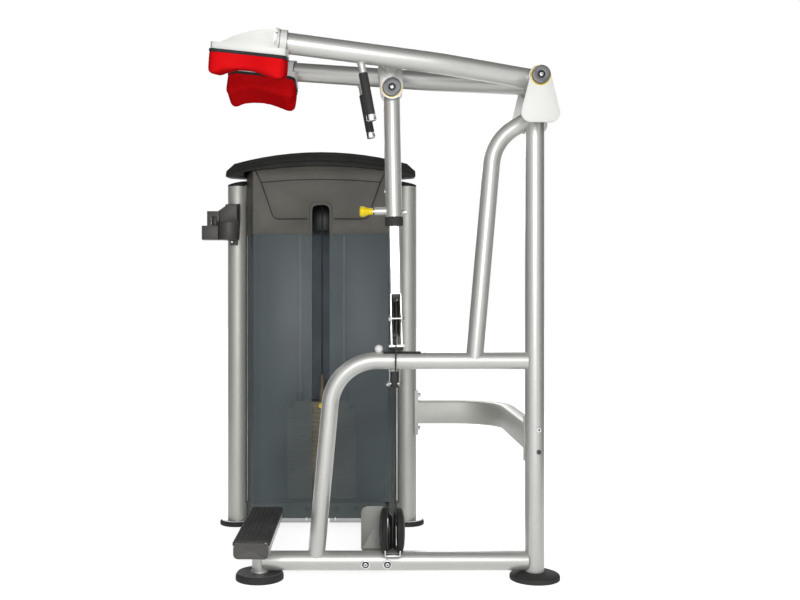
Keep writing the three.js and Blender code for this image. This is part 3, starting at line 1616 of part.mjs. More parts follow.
function addStack() {
  const pile = prismY(pileOutline(stackWidth), -stackDepth / 2, stackDepth / 2).intersect(
    prismX(pileOutline(stackDepth), -stackWidth / 2, stackWidth / 2),
  );
  const vertical = (x, z0, z1, radius) => bar(line(at(x, 0, z0), at(x, 0, z1)), radius, rodSides);
  const guideHoles = joined(
    ...[-guideSpread, guideSpread].map((x) =>
      vertical(x, stackBottom - overrun, headTop + headCollarHeight + overrun, guideRadius + runGap),
    ),
  );
  const stemHole = vertical(0, stackBottom - overrun, stackTop + overrun, stemRadius + runGap);
  const stack = pile.subtract(guideHoles).subtract(stemHole);
  addPart("weight_stack", stack, darkSteel).position.set(towerX, towerY, 0);

  const plate = box(
    -headPlateWidth / 2, headPlateWidth / 2,
    -stackDepth / 2, stackDepth / 2,
    stackTop + seatGap, headTop,
  );
  const collars = [-guideSpread, guideSpread].map((x) =>
    vertical(x, headTop - weldDepth, headTop + headCollarHeight, headCollarRadius),
  );
  const stem = vertical(0, stackBottom + plateChamfer, headTop + stemHeight, stemRadius);
  const tip = vertical(0, headTop + stemHeight - weldDepth, stemTop, stemTipRadius);
  const pinZ0 = stackTop + selectorZ;
  const selectorHole = bar(
    line(at(0, -stackDepth, pinZ0), at(0, stemRadius + overrun, pinZ0)),
    selectorRadius + boreGap,
    rodSides,
  );
  const head = joined(plate, ...collars, stem, tip).subtract(guideHoles).subtract(selectorHole);
  addPart("head_plate", head, darkSteel).position.set(towerX, towerY, 0);

  const faceY = -stackDepth / 2 - runGap;
  const pin = turned(
    [
      [0, faceY - selectorKnobLength],
      [selectorKnobRadius, faceY - selectorKnobLength],
      [selectorKnobRadius, faceY],
      [selectorRadius, faceY],
      [selectorRadius, faceY + selectorLength],
      [0, faceY + selectorLength],
    ],
    "y",
    at(0, 0, 0),
    rodSides,
  );
  addPart("selector_pin", pin, yellowPlastic).position.set(towerX, towerY, pinZ0);

  columns.forEach(([side, sign]) => {
    const foot = sillBottom + sillHeight + seatGap;
    const top = topPlateBottom - rodBlockHeight - seatGap;
    const rod = turned(
      [
        [0, foot],
        [bumperRadius, foot],
        [bumperRadius, stackBottom - seatGap],
        [guideRadius, stackBottom - seatGap],
        [guideRadius, top],
        [0, top],
      ],
      "z",
      at(0, 0, 0),
      rodSides,
    );
    addPart("guide_rod_" + side, rod, satinChrome).position.set(towerX + sign * guideSpread, towerY, 0);
  });
}

// Connectors between the front frame and the tower

function addConnectors() {
  const lowCentre = lowBeamBottom + lowBeamHeight / 2;
  const sillFront = towerY - sillDepth / 2 - seatGap;
  const section = boxSection(lowBeamWidth, lowBeamHeight, sillCorner, sillWall);
  const beam = moved(prismY(section, lowBeamStart, sillFront - weldDepth), lowBeamX, 0, lowCentre);
  const flange = box(
    lowBeamX - lowBeamWidth / 2 - lowFlangeThickness, lowBeamX + lowBeamWidth / 2 + lowFlangeThickness,
    sillFront - lowFlangeThickness, sillFront,
    sillBottom, sillBottom + sillHeight,
  );
  const corner = shieldCorner;
  const foot = lowBeamBottom + lowBeamHeight - weldDepth;
  const shield = prismY(
    bandOutline([
      [shieldLeft + weldDepth, foot, weldDepth],
      [shieldRight - weldDepth, foot, weldDepth],
      [shieldRight - corner, shieldTop - corner, corner],
      [shieldLeft + corner, shieldTop - corner, corner],
    ]),
    shieldY - shieldThickness / 2,
    shieldY + shieldThickness / 2,
  );
  addPart("low_connector", joined(beam, flange, shield).subtract(baseEnvelope), silverPaint);

  const flangeX = columnX(1) + columnRadius + highFlangeThickness;
  const flangeY = postRadius + highFlangeThickness;
  const ends = [at(flangeX - weldDepth, towerY, highBeamZ), at(0, flangeY - weldDepth, highBeamZ)];
  const path = new BentPath([ends[0], at(0, towerY, highBeamZ), ends[1]], highBeamBendRadius);
  const run = swept(boxSection(highBeamHeight, highBeamDepth, highBeamCorner, sillWall), path);
  const columnFlange = box(
    columnX(1) + columnRadius * flangeWrapShare, flangeX,
    towerY - highFlangeWidth / 2, towerY + highFlangeWidth / 2,
    highBeamZ - highFlangeHeight / 2, highBeamZ + highFlangeHeight / 2,
  );
  const postFlange = box(
    -postRadius, postRadius,
    postRadius * flangeWrapShare, flangeY,
    highBeamZ - postFlangeHeight / 2, highBeamZ + postFlangeHeight / 2,
  );
  const boreHalf = highBeamDepth / 2 - sillWall;
  const boreRise = highBeamHeight / 2 - sillWall;
  const bore = box(-boreHalf, boreHalf, 0, flangeY, highBeamZ - boreRise, highBeamZ + boreRise);
  const connector = joined(run, columnFlange, postFlange.subtract(bore))
    .subtract(postEnvelope)
    .subtract(columnEnvelope(1));
  addPart("high_connector", connector, silverPaint);
}

// Bottle holder: a tapered cup with a slanted rim and a tall back, an open pocket beside it with a
// slotted back, a strap that hugs the left column and a tab for its screw.
function addBottleHolder() {
  const top = holderBottom + cupHeight;
  const taper = (cupTopRadius - cupBaseRadius) / cupHeight;
  const radiusAt = (z) => cupBaseRadius + taper * (Math.min(z, top) - holderBottom);
  const backTop = holderBottom + holderBackHeight;
  const cutTop = backTop + overrun;
  const cup = (inset, foot, head) => {
    const rim = radiusAt(top) - inset;
    const profile = [[0, foot], [radiusAt(foot) - inset, foot], [rim, top], [rim, head], [0, head]];
    return turned(profile, "z", at(0, 0, 0));
  };
  const outer = cup(0, holderBottom, backTop);
  const bore = cup(holderWall, holderBottom + holderWall, cutTop);
  const wide = 2 * cupTopRadius;
  const backStart = cupTopRadius * holderBackShare;
  const aboveRim = new THREE.ExtrudeGeometry(
    outline([
      [-wide, top - cupRimSlope * wide],
      [backStart, top + cupRimSlope * backStart],
      [backStart + holderBackLean * (cutTop - top), cutTop],
      [-wide, cutTop],
    ]),
    { depth: 2 * wide, bevelEnabled: false },
  );
  aboveRim.translate(0, 0, -wide).rotateX(Math.PI / 2).rotateZ(Math.PI / 2 + cupTurn);
  const shoulder = prismY(
    outline([
      [-shoulderLeft, backTop - shoulderDrop],
      [-shoulderTopX, cutTop],
      [-shoulderLeft, cutTop],
    ]),
    -wide,
    wide,
  );
  const tray = box(
    -pocketLeft, -pocketRight, -pocketDepth / 2, pocketDepth / 2, holderBottom, holderBottom + pocketHeight,
  );
  const rearY = pocketDepth / 2 - pocketBackDepth;
  const tall = box(
    -pocketBackLeft, -pocketRight, rearY, pocketDepth / 2, holderBottom, holderBottom + pocketBackHeight,
  );
  const room = box(
    holderWall - pocketLeft, -pocketRight - holderWall,
    holderWall - pocketDepth / 2, rearY,
    holderBottom + holderWall, holderBottom + pocketHeight + overrun,
  );
  const window = box(
    -pocketWindowLeft, -pocketWindowRight,
    rearY - overrun, pocketDepth / 2 + overrun,
    holderBottom + pocketWindowBottom, holderBottom + pocketWindowTop,
  );
  const columnAt = at(columnX(-1) - holderX, towerY - holderY, 0);
  const strap = prismZ(
    bandOutline([
      [0, 0, cupBaseRadius / 2],
      [columnAt.x, columnAt.y, cupBaseRadius / 2],
    ]),
    holderBottom + holderWall,
    holderBottom + holderStrapHeight,
  );
  const tabY = columnAt.y - columnRadius - holderTabThickness;
  const tab = box(
    holderTabX - holderTabHalf, holderTabX + holderTabHalf,
    tabY, columnAt.y,
    holderBottom - holderTabDrop, holderBottom + holderWall + weldDepth,
  );
  const column = bar(
    line(at(columnAt.x, columnAt.y, 0), at(columnAt.x, columnAt.y, columnTop)),
    columnRadius + seatGap,
  );
  const cupWithBack = outer.subtract(solid(aboveRim)).subtract(shoulder);
  const pocket = joined(tray, tall).subtract(room).subtract(window);
  const holder = joined(cupWithBack, pocket, strap, tab).subtract(bore).subtract(column);
  addPart("bottle_holder", holder, blackRubber).position.set(holderX, holderY, 0);
}

addMainPost();
addBaseTube();
addStep();
addMidTube();
addBrace();
addPivotPlates();
addLever();
addPads();
addPushRod();
addRestSaddle();
addCableWheels();
addCable();
addColumns();
addSill();
addTopFrame();
addShroud();
addTopCover();
addStack();
addConnectors();
addBottleHolder();

export default group;
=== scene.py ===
"""Looks of a standing calf raise machine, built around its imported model.

Lengths in the classes are millimetres in the model's own frame: the origin is on the floor under the
main post, +X runs from the step to the post, +Y back to the weight tower and +Z up.
"""

import logging
import math
from contextlib import contextmanager
from dataclasses import dataclass
from enum import Enum
from typing import Iterator, Sequence

import bmesh
import bpy
from mathutils import Matrix, Vector


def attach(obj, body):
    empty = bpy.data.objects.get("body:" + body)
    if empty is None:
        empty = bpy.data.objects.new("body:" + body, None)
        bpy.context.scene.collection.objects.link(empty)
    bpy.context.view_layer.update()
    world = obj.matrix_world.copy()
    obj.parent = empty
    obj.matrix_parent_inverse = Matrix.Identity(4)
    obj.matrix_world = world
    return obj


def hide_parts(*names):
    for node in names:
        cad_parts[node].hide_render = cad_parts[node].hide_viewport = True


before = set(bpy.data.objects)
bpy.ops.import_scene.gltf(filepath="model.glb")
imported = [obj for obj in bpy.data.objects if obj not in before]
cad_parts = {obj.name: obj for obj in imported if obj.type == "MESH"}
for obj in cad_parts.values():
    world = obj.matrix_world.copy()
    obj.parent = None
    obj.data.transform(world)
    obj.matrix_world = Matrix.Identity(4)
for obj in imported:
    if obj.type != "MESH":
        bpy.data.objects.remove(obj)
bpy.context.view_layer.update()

LOG = logging.getLogger("calf_raise")
MM = 0.001
Point = Sequence[float]
Piece = bpy.types.Object
Tree = bpy.types.NodeTree
Socket = bpy.types.NodeSocket
X_AXIS = (1.0, 0.0, 0.0)
Y_AXIS = (0.0, 1.0, 0.0)
Z_AXIS = (0.0, 0.0, 1.0)
FORWARD = (0.0, -1.0, 0.0)
ALONG_Z = Vector(Z_AXIS)
SMOOTH_ANGLE = math.radians(35)
FLAT_ANGLE = math.radians(0.6)
MERGE = 0.02 * MM
TINY = 1e-6
COAT_ROUGHNESS = 0.12
FOAM_PRESSURE = 4
FOAM_FRAMES = 20
ROPE_RADIUS = 2.75


class Body(Enum):
    """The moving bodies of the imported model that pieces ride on."""

    FRAME = "frame"
    LEVER = "lever"
    PUSH_ROD = "push_rod"
    LINK_PULLEY = "link_pulley"
    PULL_PIN = "pull_pin_body"
    FRONT_PULLEY = "front_pulley"
    REAR_PULLEY = "rear_pulley"
    TOP_PULLEY_LEFT = "top_pulley_left"
    TOP_PULLEY_RIGHT = "top_pulley_right"
    LIFT = "lift"
    SELECTOR = "selector"


# Colours and nodes


def srgb(code: str) -> tuple[float, float, float, float]:
    """Turn an sRGB hex code into linear RGBA.

    Args:
        code: Six hex digits with a leading hash.

    Returns:
        Linear red, green and blue, and an alpha of 1.
    """
    values = [int(code[i : i + 2], 16) / 255 for i in (1, 3, 5)]
    linear = [v / 12.92 if v <= 0.04045 else ((v + 0.055) / 1.055) ** 2.4 for v in values]
    return (*linear, 1.0)


def socket_key(key: str) -> str | int:
    """Give an input's name, with spaces for underscores, or its number for a key such as i1."""
    return int(key[1:]) if key[0] == "i" and key[1:].isdigit() else key.replace("_", " ")


def add_node(tree: Tree, kind: str, settings: dict | None = None, **links: Socket) -> bpy.types.Node:
    """Add one shader node with its settings and incoming links.

    Args:
        tree: The node tree of a material or world.
        kind: The node's type name without its ShaderNode prefix.
        settings: Property names or input keys and their values; the key "stops" holds pairs of position
            and hex code for the two ends of a colour ramp.
        links: Input keys and the sockets that feed them.

    Returns:
        The new node.
    """
    node = tree.nodes.new("ShaderNode" + kind)
    for key, value in (settings or {}).items():
        if key == "stops":
            for stop, (position, code) in zip(node.color_ramp.elements, value):
                stop.position = position
                stop.color = srgb(code)
        elif hasattr(node, key):
            setattr(node, key, value)
        else:
            node.inputs[socket_key(key)].default_value = value
    for key, socket in links.items():
        tree.links.new(socket, node.inputs[socket_key(key)])
    return node


# Finishes


@dataclass(frozen=True)
class Finish:
    """A surface: what it is made of, its colours, gloss and fine relief."""

    name: str
    slot: str
    colour: str
    shade: str
    roughness: float
    metallic: float = 0.0
    coat: float = 0.0
    grain_mm: float = 1.2
    relief: float = 0.1
    gloss_spread: float = 0.06
    ior: float = 1.5
    alpha: float = 1.0
    specular: float = 0.5
    relief_mm: float = 0.1

    def material(self) -> bpy.types.Material:
        """Give the finish's material, made on its first use."""
        return bpy.data.materials.get(self.name) or self.make()

    def make(self) -> bpy.types.Material:
        """Build the material: colour clouds, gloss variation and a fine grain.

        Returns:
            The new material.
        """
        material = bpy.data.materials.new(self.name)
        material.use_nodes = True
        tree = material.node_tree
        inputs = tree.nodes["Principled BSDF"].inputs
        fixed = {"Metallic": self.metallic, "Coat Weight": self.coat, "Coat Roughness": COAT_ROUGHNESS,
                 "IOR": self.ior, "Specular IOR Level": self.specular, "Alpha": self.alpha}
        for key, value in fixed.items():
            inputs[key].default_value = value
        place = add_node(tree, "TexCoord").outputs["Object"]
        depth = {"Strength": self.relief, "Distance": self.relief_mm * MM}
        bump = add_node(tree, "Bump", depth, Height=self.height_pattern(tree, place))
        tree.links.new(self.colour_pattern(tree, place), inputs["Base Color"])
        tree.links.new(self.gloss_pattern(tree, place), inputs["Roughness"])
        tree.links.new(bump.outputs["Normal"], inputs["Normal"])
        return material

    def colour_pattern(self, tree: Tree, place: Socket) -> Socket:
        """Drift slowly between the two colours, over a hand's width.

        Args:
            tree: The material's node tree.
            place: The socket that gives the place on the piece.

        Returns:
            The colour.
        """
        clouds = add_node(tree, "TexNoise", {"Scale": 7.0, "Detail": 4.0}, Vector=place)
        stops = [(0.35, self.shade), (0.65, self.colour)]
        return add_node(tree, "ValToRGB", {"stops": stops}, Fac=clouds.outputs["Fac"]).outputs["Color"]

    def gloss_pattern(self, tree: Tree, place: Socket) -> Socket:
        """Vary the roughness in faint smears, as handling does.

        Args:
            tree: The material's node tree.
            place: The socket that gives the place on the piece.

        Returns:
            The roughness.
        """
        smears = add_node(tree, "TexNoise", {"Scale": 23.0, "Detail": 5.0}, Vector=place)
        ends = {"To Min": self.roughness - self.gloss_spread, "To Max": self.roughness + self.gloss_spread}
        return add_node(tree, "MapRange", ends, Value=smears.outputs["Fac"]).outputs["Result"]

    def height_pattern(self, tree: Tree, place: Socket) -> Socket:
        """Roughen the surface with a grain of the finish's own size."""
        fine = {"Scale": 1 / (self.grain_mm * MM), "Detail": 3.0}
        return add_node(tree, "TexNoise", fine, Vector=place).outputs["Fac"]


@dataclass(frozen=True)
class MetallicPowderCoat(Finish):
    """Silver powder coat: aluminium flake under clear resin sparkles and has a slight orange peel."""

    # Real flakes are far finer. They are drawn this coarse so that they show.
    flake_mm: float = 0.8

    def colour_pattern(self, tree: Tree, place: Socket) -> Socket:
        """Scatter lighter and darker flakes over the slow drift of the coat.

        Args:
            tree: The material's node tree.
            place: The socket that gives the place on the piece.

        Returns:
            The colour.
        """
        clouds = add_node(tree, "TexNoise", {"Scale": 5.0, "Detail": 3.0}, Vector=place)
        flakes = add_node(tree, "TexVoronoi", {"Scale": 1 / (self.flake_mm * MM)}, Vector=place)
        split = add_node(tree, "SeparateColor", Color=flakes.outputs["Color"])
        blend = {"data_type": "FLOAT", "Factor": 0.55}
        mixed = add_node(tree, "Mix", blend, i2=clouds.outputs["Fac"], i3=split.outputs["Red"])
        stops = [(0.25, self.shade), (0.75, self.colour)]
        return add_node(tree, "ValToRGB", {"stops": stops}, Fac=mixed.outputs["Result"]).outputs["Color"]


@dataclass(frozen=True)
class BrushedMetal(Finish):
    """Plated or bare steel, with fine lines along the Z axis of the part."""

    relief_mm: float = 0.05

    def height_pattern(self, tree: Tree, place: Socket) -> Socket:
        """Draw long thin lines."""
        # About 1.1 mm wide and 55 mm long: real ones are finer, and wouldn't show.
        stretch = add_node(tree, "Mapping", {"Scale": (900.0, 900.0, 18.0)}, Vector=place).outputs["Vector"]
        return add_node(tree, "TexNoise", {"Scale": 1.0, "Detail": 3.0}, Vector=stretch).outputs["Fac"]


@dataclass(frozen=True)
class GrainedVinyl(Finish):
    """Polyurethane skin: a soft leather grain of flat islands between fine valleys."""

    relief_mm: float = 0.15

    def height_pattern(self, tree: Tree, place: Socket) -> Socket:
        """Press cells of leather grain, a little warped.

        Args:
            tree: The material's node tree.
            place: The socket that gives the place on the piece.

        Returns:
            The height.
        """
        warp = add_node(tree, "TexNoise", {"Scale": 260.0, "Detail": 2.0}, Vector=place)
        blend = {"data_type": "VECTOR", "Factor": 0.004}
        shifted = add_node(tree, "Mix", blend, i4=place, i5=warp.outputs["Color"])
        edges = {"feature": "DISTANCE_TO_EDGE", "Scale": 1 / (self.grain_mm * MM)}
        cells = add_node(tree, "TexVoronoi", edges, Vector=shifted.outputs[1])
        islands = add_node(tree, "MapRange", {"From Max": 0.12}, Value=cells.outputs["Distance"])
        return islands.outputs["Result"]


@dataclass(frozen=True)
class TwistedCord(Finish):
    """Nylon-coated wire rope: the strands show through the coat as slanted ridges."""

    relief_mm: float = 0.2

    def height_pattern(self, tree: Tree, place: Socket) -> Socket:
        """Slant fine waves round the cord."""
        # The ridges are about 4 mm apart along the cord.
        slant = {"bands_direction": "DIAGONAL", "Scale": 160.0, "Distortion": 0.6}
        return add_node(tree, "TexWave", slant, Vector=place).outputs["Fac"]


# Bright aluminium flake under satin clear: one white stripe along each tube and dim flanks.
SILVER = MetallicPowderCoat("silver powder coat", "silver_paint", "#CDCECA", "#BBBCB7", 0.36, 0.4, 0.35)
# The same silver coat as the tubes, painted nearly white on the cut plates and pad pans: painted light for
# their flat faces, which face the front lamp, with no stripe.
PAINTED_LIGHT_SILVER = MetallicPowderCoat("silver powder coat with painted light", "silver_paint", "#F4F4F1", "#EDEDE9", 0.5, 0.05,
                                specular=0.3)
# The tower's thicker columns and the high beam have a duller coat, which spreads the light over
# their whole front.
COLUMN_SILVER = MetallicPowderCoat("satin silver powder coat", "silver_paint", "#CFCFC9", "#BEBEB7", 0.5,
                                   0.35)
# The lower beam and its shield: a mid grey that stays flat beside the bright tubes.
GREY_COAT = MetallicPowderCoat("grey powder coat", "silver_paint", "#92928D", "#858580", 0.5, 0.1)
# Plated square rod with its fork, and the grips' ends: near white where they face the light.
CHROME = BrushedMetal("satin chrome plate", "satin_chrome", "#E6E7E8", "#CFD1D2", 0.24, 1.0)
# Guide rods: oiled steel, which the smoked panels darken further.
GUIDE_STEEL = BrushedMetal("oiled guide rod steel", "satin_chrome", "#7C7B70", "#65645A", 0.36, 0.8)
# Fasteners, guide strap and the columns' foot discs: bright zinc with fine drawn lines.
ZINC = BrushedMetal("zinc plated steel", "satin_chrome", "#DEDFDF", "#B8BABB", 0.28, 1.0)
# Enamelled steel inside the tower, dull and grey: the tint before it brings it down to charcoal.
DARK_PAINT = Finish("charcoal enamel on steel", "dark_steel", "#7E7F79", "#6D6E69", 0.5, 0.1)
# Cast plates, kept light and warm so that they read as a brown shade through the blue-grey tint.
PLATE_PAINT = Finish("black enamel on cast plates", "black_steel", "#8A8474", "#766F60", 0.55, 0.05,
                     specular=0.3)
# Feet, sleeves and buffers: soft, dull and slightly grey with bloom.
RUBBER = Finish("moulded black rubber", "black_rubber", "#3E3E3D", "#303030", 0.68, relief=0.35,
                specular=0.3)
# Step cover: the same rubber, worn a little paler.
TREAD = Finish("ribbed tread rubber", "black_rubber", "#4A4A49", "#363635", 0.72, relief=0.5, grain_mm=2,
               specular=0.3)
# Shroud mouldings: warm grey with a fine spark-eroded texture.
PLASTIC = Finish("textured charcoal ABS", "dark_plastic", "#68665F", "#5E5C56", 0.5, relief=0.45,
                 grain_mm=1.6, specular=0.3)
# Top cover, column caps and wheel guards: the same moulding in a darker colour. On the top cover the dark
# is partly painted shade, for the shadow behind its stepped front band.
DARK_PLASTIC_AND_COVER_SHADE = Finish("dark moulded ABS and painted cover shade", "dark_plastic", "#3A3A38", "#2F2F2E", 0.56, relief=0.3,
                      specular=0.12)
# The back shell is a slate colour, which the slot between the panels shows.
SLATE_PLASTIC = Finish("slate moulded ABS", "dark_plastic", "#5C676F", "#525D65", 0.5, relief=0.15,
                       specular=0.25)
# The cup and the step's end caps: a lighter moulded grey.
CUP_PLASTIC = Finish("grey moulded polypropylene", "black_rubber", "#575653", "#4A4947", 0.45, relief=0.3,
                     specular=0.35)
# Machined axle caps and the step's foot disc: dark grey with a soft sheen. The same grey rings paint the
# shade in the gaps at both ends of each pad clamp.
CAP_METAL_AND_GAP_SHADE = BrushedMetal("grey anodised aluminium and painted gap shade", "dark_steel", "#67676A", "#58585B", 0.42, 0.45)
# Grooved wheels: glass-filled nylon, nearly black. The same near black also paints shade in bolt sockets,
# along the shroud's grooves and cover band, behind its slot and in the cup's slot.
NYLON_AND_PAINTED_SHADE = Finish("black nylon and painted shade", "dark_plastic", "#1B1B1A", "#131313", 0.42, relief=0.1, specular=0.35)
# Cushion skin: saturated red with a fine leather grain and no shine.
RED = GrainedVinyl("red polyurethane skin", "red_vinyl", "#F01A1F", "#E21318", 0.65, 0, 0, 1.4, 0.3,
                   specular=0.0)
# Backing board of each cushion, wrapped in black cloth.
BOARD = Finish("black cloth on plywood", "black_rubber", "#343838", "#282C2C", 0.75, relief=0.5,
               grain_mm=0.9, specular=0.25)
# Knob: clean moulded yellow.
YELLOW = Finish("yellow moulded nylon", "yellow_plastic", "#FFE000", "#FBD400", 0.34, 0, 0.1, 2.0, 0.08,
                specular=0.35)
# Ball knob: plain white with a soft edge.
WHITE = Finish("white phenolic ball", "white_plastic", "#FFFFFF", "#FCFCFA", 0.5, 0, 0, 3.0, 0.03,
               specular=0.2)
# Flange beside each axle cap: a thin golden rim.
BRASS = Finish("brass bushing flange", "silver_paint", "#F2D40A", "#E2C004", 0.34, 0.15)
# Cable: black nylon drawn over twisted strands.
CORD = TwistedCord("nylon coated wire rope", "black_cord", "#484845", "#2F2F2D", 0.42, 0.1, relief=0.6,
                   specular=0.35)
# Tinted sheet: over half of what is behind it comes through, so that the stack shows as a shade.
ACRYLIC = Finish(
    "smoked acrylic sheet", "smoked_acrylic", "#747F82", "#6A7578", 0.34, 0, 0, 40.0, 0.02, 0.02, 1.49,
    0.44, 0.4
)


# Shaping


def only(*pieces: Piece) -> Piece:
    """Select these pieces and nothing else.

    Args:
        pieces: The pieces; the last becomes the active one.

    Returns:
        The active piece.
    """
    bpy.ops.object.select_all(action="DESELECT")
    for piece in pieces:
        piece.select_set(True)
    bpy.context.view_layer.objects.active = pieces[-1]
    return pieces[-1]


@contextmanager
def editing(piece: Piece) -> Iterator[bmesh.types.BMesh]:
    """Open a piece in edit mode with everything selected; on closing, turn its faces outward.

    Args:
        piece: The mesh object.

    Yields:
        The mesh under edit.
    """
    only(piece)
    bpy.ops.object.mode_set(mode="EDIT")
    bpy.ops.mesh.select_mode(type="FACE")
    bpy.ops.mesh.select_all(action="SELECT")
    try:
        yield bmesh.from_edit_mesh(piece.data)
    finally:
        bpy.ops.mesh.select_all(action="SELECT")
        bpy.ops.mesh.normals_make_consistent(inside=False)
        bpy.ops.object.mode_set(mode="OBJECT")


def settle(piece: Piece) -> Piece:
    """Put a piece's place and scale into its mesh.

    Args:
        piece: The piece.

    Returns:
        The piece.
    """
    only(piece)
    bpy.ops.object.transform_apply(location=True, rotation=True, scale=True)
    return piece


def modify(piece: Piece, kind: str, **settings) -> Piece:
    """Add a modifier and apply it.

    Args:
        piece: The piece.
        kind: The modifier's type.
        settings: Its properties.

    Returns:
        The piece.
    """
    modifier = piece.modifiers.new(kind.title(), kind)
    for key, value in settings.items():
        setattr(modifier, key, value)
    only(piece)
    bpy.ops.object.modifier_apply(modifier=modifier.name)
    return piece


def bevelled(piece: Piece, width: float, segments: int = 2, angle: float = 30) -> Piece:
    """Round a piece's sharp edges.

    Args:
        piece: The piece.
        width: The bevel's width in millimetres.
        segments: Its steps.
        angle: Edges sharper than this many degrees are rounded.

    Returns:
        The piece.
    """
    return modify(piece, "BEVEL", width=width * MM, segments=segments, limit_method="ANGLE",
                  angle_limit=math.radians(angle))


def cut(piece: Piece, *cutters: Piece) -> Piece:
    """Take cutters out of a piece and delete them.

    Args:
        piece: What is cut.
        cutters: The shapes that are taken away.

    Returns:
        The piece.
    """
    for cutter in cutters:
        modify(piece, "BOOLEAN", operation="DIFFERENCE", object=cutter, solver="EXACT")
        bpy.data.objects.remove(cutter)
    return piece


def fused(*pieces: Piece) -> Piece:
    """Join overlapping pieces into one closed skin.

    Args:
        pieces: The pieces; the first keeps its name.

    Returns:
        The first piece.
    """
    for other in pieces[1:]:
        modify(pieces[0], "BOOLEAN", operation="UNION", object=other, solver="EXACT")
        bpy.data.objects.remove(other)
    return pieces[0]


def together(*pieces: Piece) -> Piece:
    """Join separate pieces into one object that keeps the last one's name.

    Args:
        pieces: The pieces.

    Returns:
        The joined piece.
    """
    only(*pieces)
    bpy.ops.object.join()
    return pieces[-1]


def aimed(piece: Piece, at: Point, along: Point) -> Piece:
    """Turn a piece from +Z to a direction, move it, and settle it.

    Args:
        piece: The piece, built about the origin.
        at: Where its origin goes, in millimetres.
        along: Where its +Z goes.

    Returns:
        The piece.
    """
    turn = ALONG_Z.rotation_difference(Vector(along).normalized()).to_matrix().to_4x4()
    piece.matrix_world = Matrix.Translation(Vector(at) * MM) @ turn
    return settle(piece)


def turned(name: str, stations: Sequence[Point], at: Point = (0, 0, 0), along: Point = Z_AXIS,
           vertices: int = 48) -> Piece:
    """Raise a round piece station by station, as on a lathe.

    Args:
        name: The piece's name.
        stations: Radius and height of each station in millimetres, from one end face to the other.
        at: Where its origin goes, in millimetres.
        along: Where its axis points.
        vertices: Points round it.

    Returns:
        The closed piece.
    """
    radius, height = stations[0]
    bpy.ops.mesh.primitive_circle_add(vertices=vertices, radius=radius * MM, fill_type="NGON",
                                      location=(0, 0, height * MM))
    piece = settle(bpy.context.object)
    piece.name = name
    with editing(piece):
        for next_radius, next_height in stations[1:]:
            rise = (0, 0, (next_height - height) * MM)
            bpy.ops.mesh.extrude_region_move(TRANSFORM_OT_translate={"value": rise})
            ratio = next_radius / radius
            if abs(ratio - 1) > TINY:
                bpy.ops.transform.resize(value=(ratio, ratio, 1), center_override=(0, 0, next_height * MM))
            radius, height = next_radius, next_height
    return aimed(piece, at, along)


def rod(name: str, radius: float, start: Point, end: Point, vertices: int = 48) -> Piece:
    """Make a straight round bar between two points, in millimetres.

    Args:
        name: The piece's name.
        radius: Its radius.
        start: One end.
        end: The other end.
        vertices: Points round it.

    Returns:
        The bar.
    """
    run = Vector(end) - Vector(start)
    return turned(name, [(radius, 0), (radius, run.length)], start, run, vertices)


def bent_points(corners: Sequence[Point], radii: Sequence[float], step: float = 5.0) -> list[Vector]:
    """Round the corners of a line.

    Args:
        corners: The line's points in millimetres.
        radii: The bend radius at each inner corner.
        step: The most that the line turns from point to point, in degrees.

    Returns:
        The rounded line's points.
    """
    line = [Vector(corner) for corner in corners]
    points = [line[0]]
    for before, corner, after, radius in zip(line, line[1:], line[2:], radii):
        inward = (corner - before).normalized()
        outward = (after - corner).normalized()
        turn = inward.angle(outward)
        start = corner - inward * radius * math.tan(turn / 2)
        axis = inward.cross(outward).normalized()
        centre = start + axis.cross(inward) * radius
        steps = max(2, math.ceil(math.degrees(turn) / step))
        for k in range(steps + 1):
            points.append(Matrix.Rotation(turn * k / steps, 3, axis) @ (start - centre) + centre)
    points.append(line[-1])
    kept = [points[0]]
    kept += [point for before, point in zip(points, points[1:]) if (point - before).length > 1e-3]
    return kept


def tube(name: str, corners: Sequence[Point], radii: Sequence[float], radius: float,
         sides: int = 40) -> Piece:
    """Make a bent round tube with capped ends.

    Args:
        name: The piece's name.
        corners: The centre line's corners in millimetres.
        radii: The bend radius at each inner corner.
        radius: The tube's radius.
        sides: Points round it.

    Returns:
        The tube as a mesh.
    """
    points = bent_points(corners, radii)
    bpy.ops.curve.primitive_nurbs_path_add()
    curve = bpy.context.object
    curve.name = name
    curve.data.splines.clear()
    spline = curve.data.splines.new("POLY")
    spline.points.add(len(points) - 1)
    for target, point in zip(spline.points, points):
        target.co = (*(point * MM), 1)
    curve.data.twist_mode = "MINIMUM"
    curve.data.bevel_depth = radius * MM
    curve.data.bevel_resolution = max(0, sides // 2 - 2)
    curve.data.use_fill_caps = True
    only(curve)
    bpy.ops.object.convert(target="MESH")
    piece = settle(bpy.context.object)
    with editing(piece):
        bpy.ops.mesh.remove_doubles(threshold=TINY)
    return piece


def block(name: str, low: Point, high: Point, edge: float = 0.8, segments: int = 2) -> Piece:
    """Make a box with rounded edges.

    Args:
        name: The piece's name.
        low: Its lowest corner in millimetres.
        high: Its highest corner.
        edge: The edge rounding.
        segments: The rounding's steps.

    Returns:
        The box.
    """
    centre = (Vector(low) + Vector(high)) / 2
    bpy.ops.mesh.primitive_cube_add(size=1, location=centre * MM)
    piece = bpy.context.object
    piece.name = name
    piece.scale = (Vector(high) - Vector(low)) * MM
    settle(piece)
    return bevelled(piece, edge, segments) if edge else piece


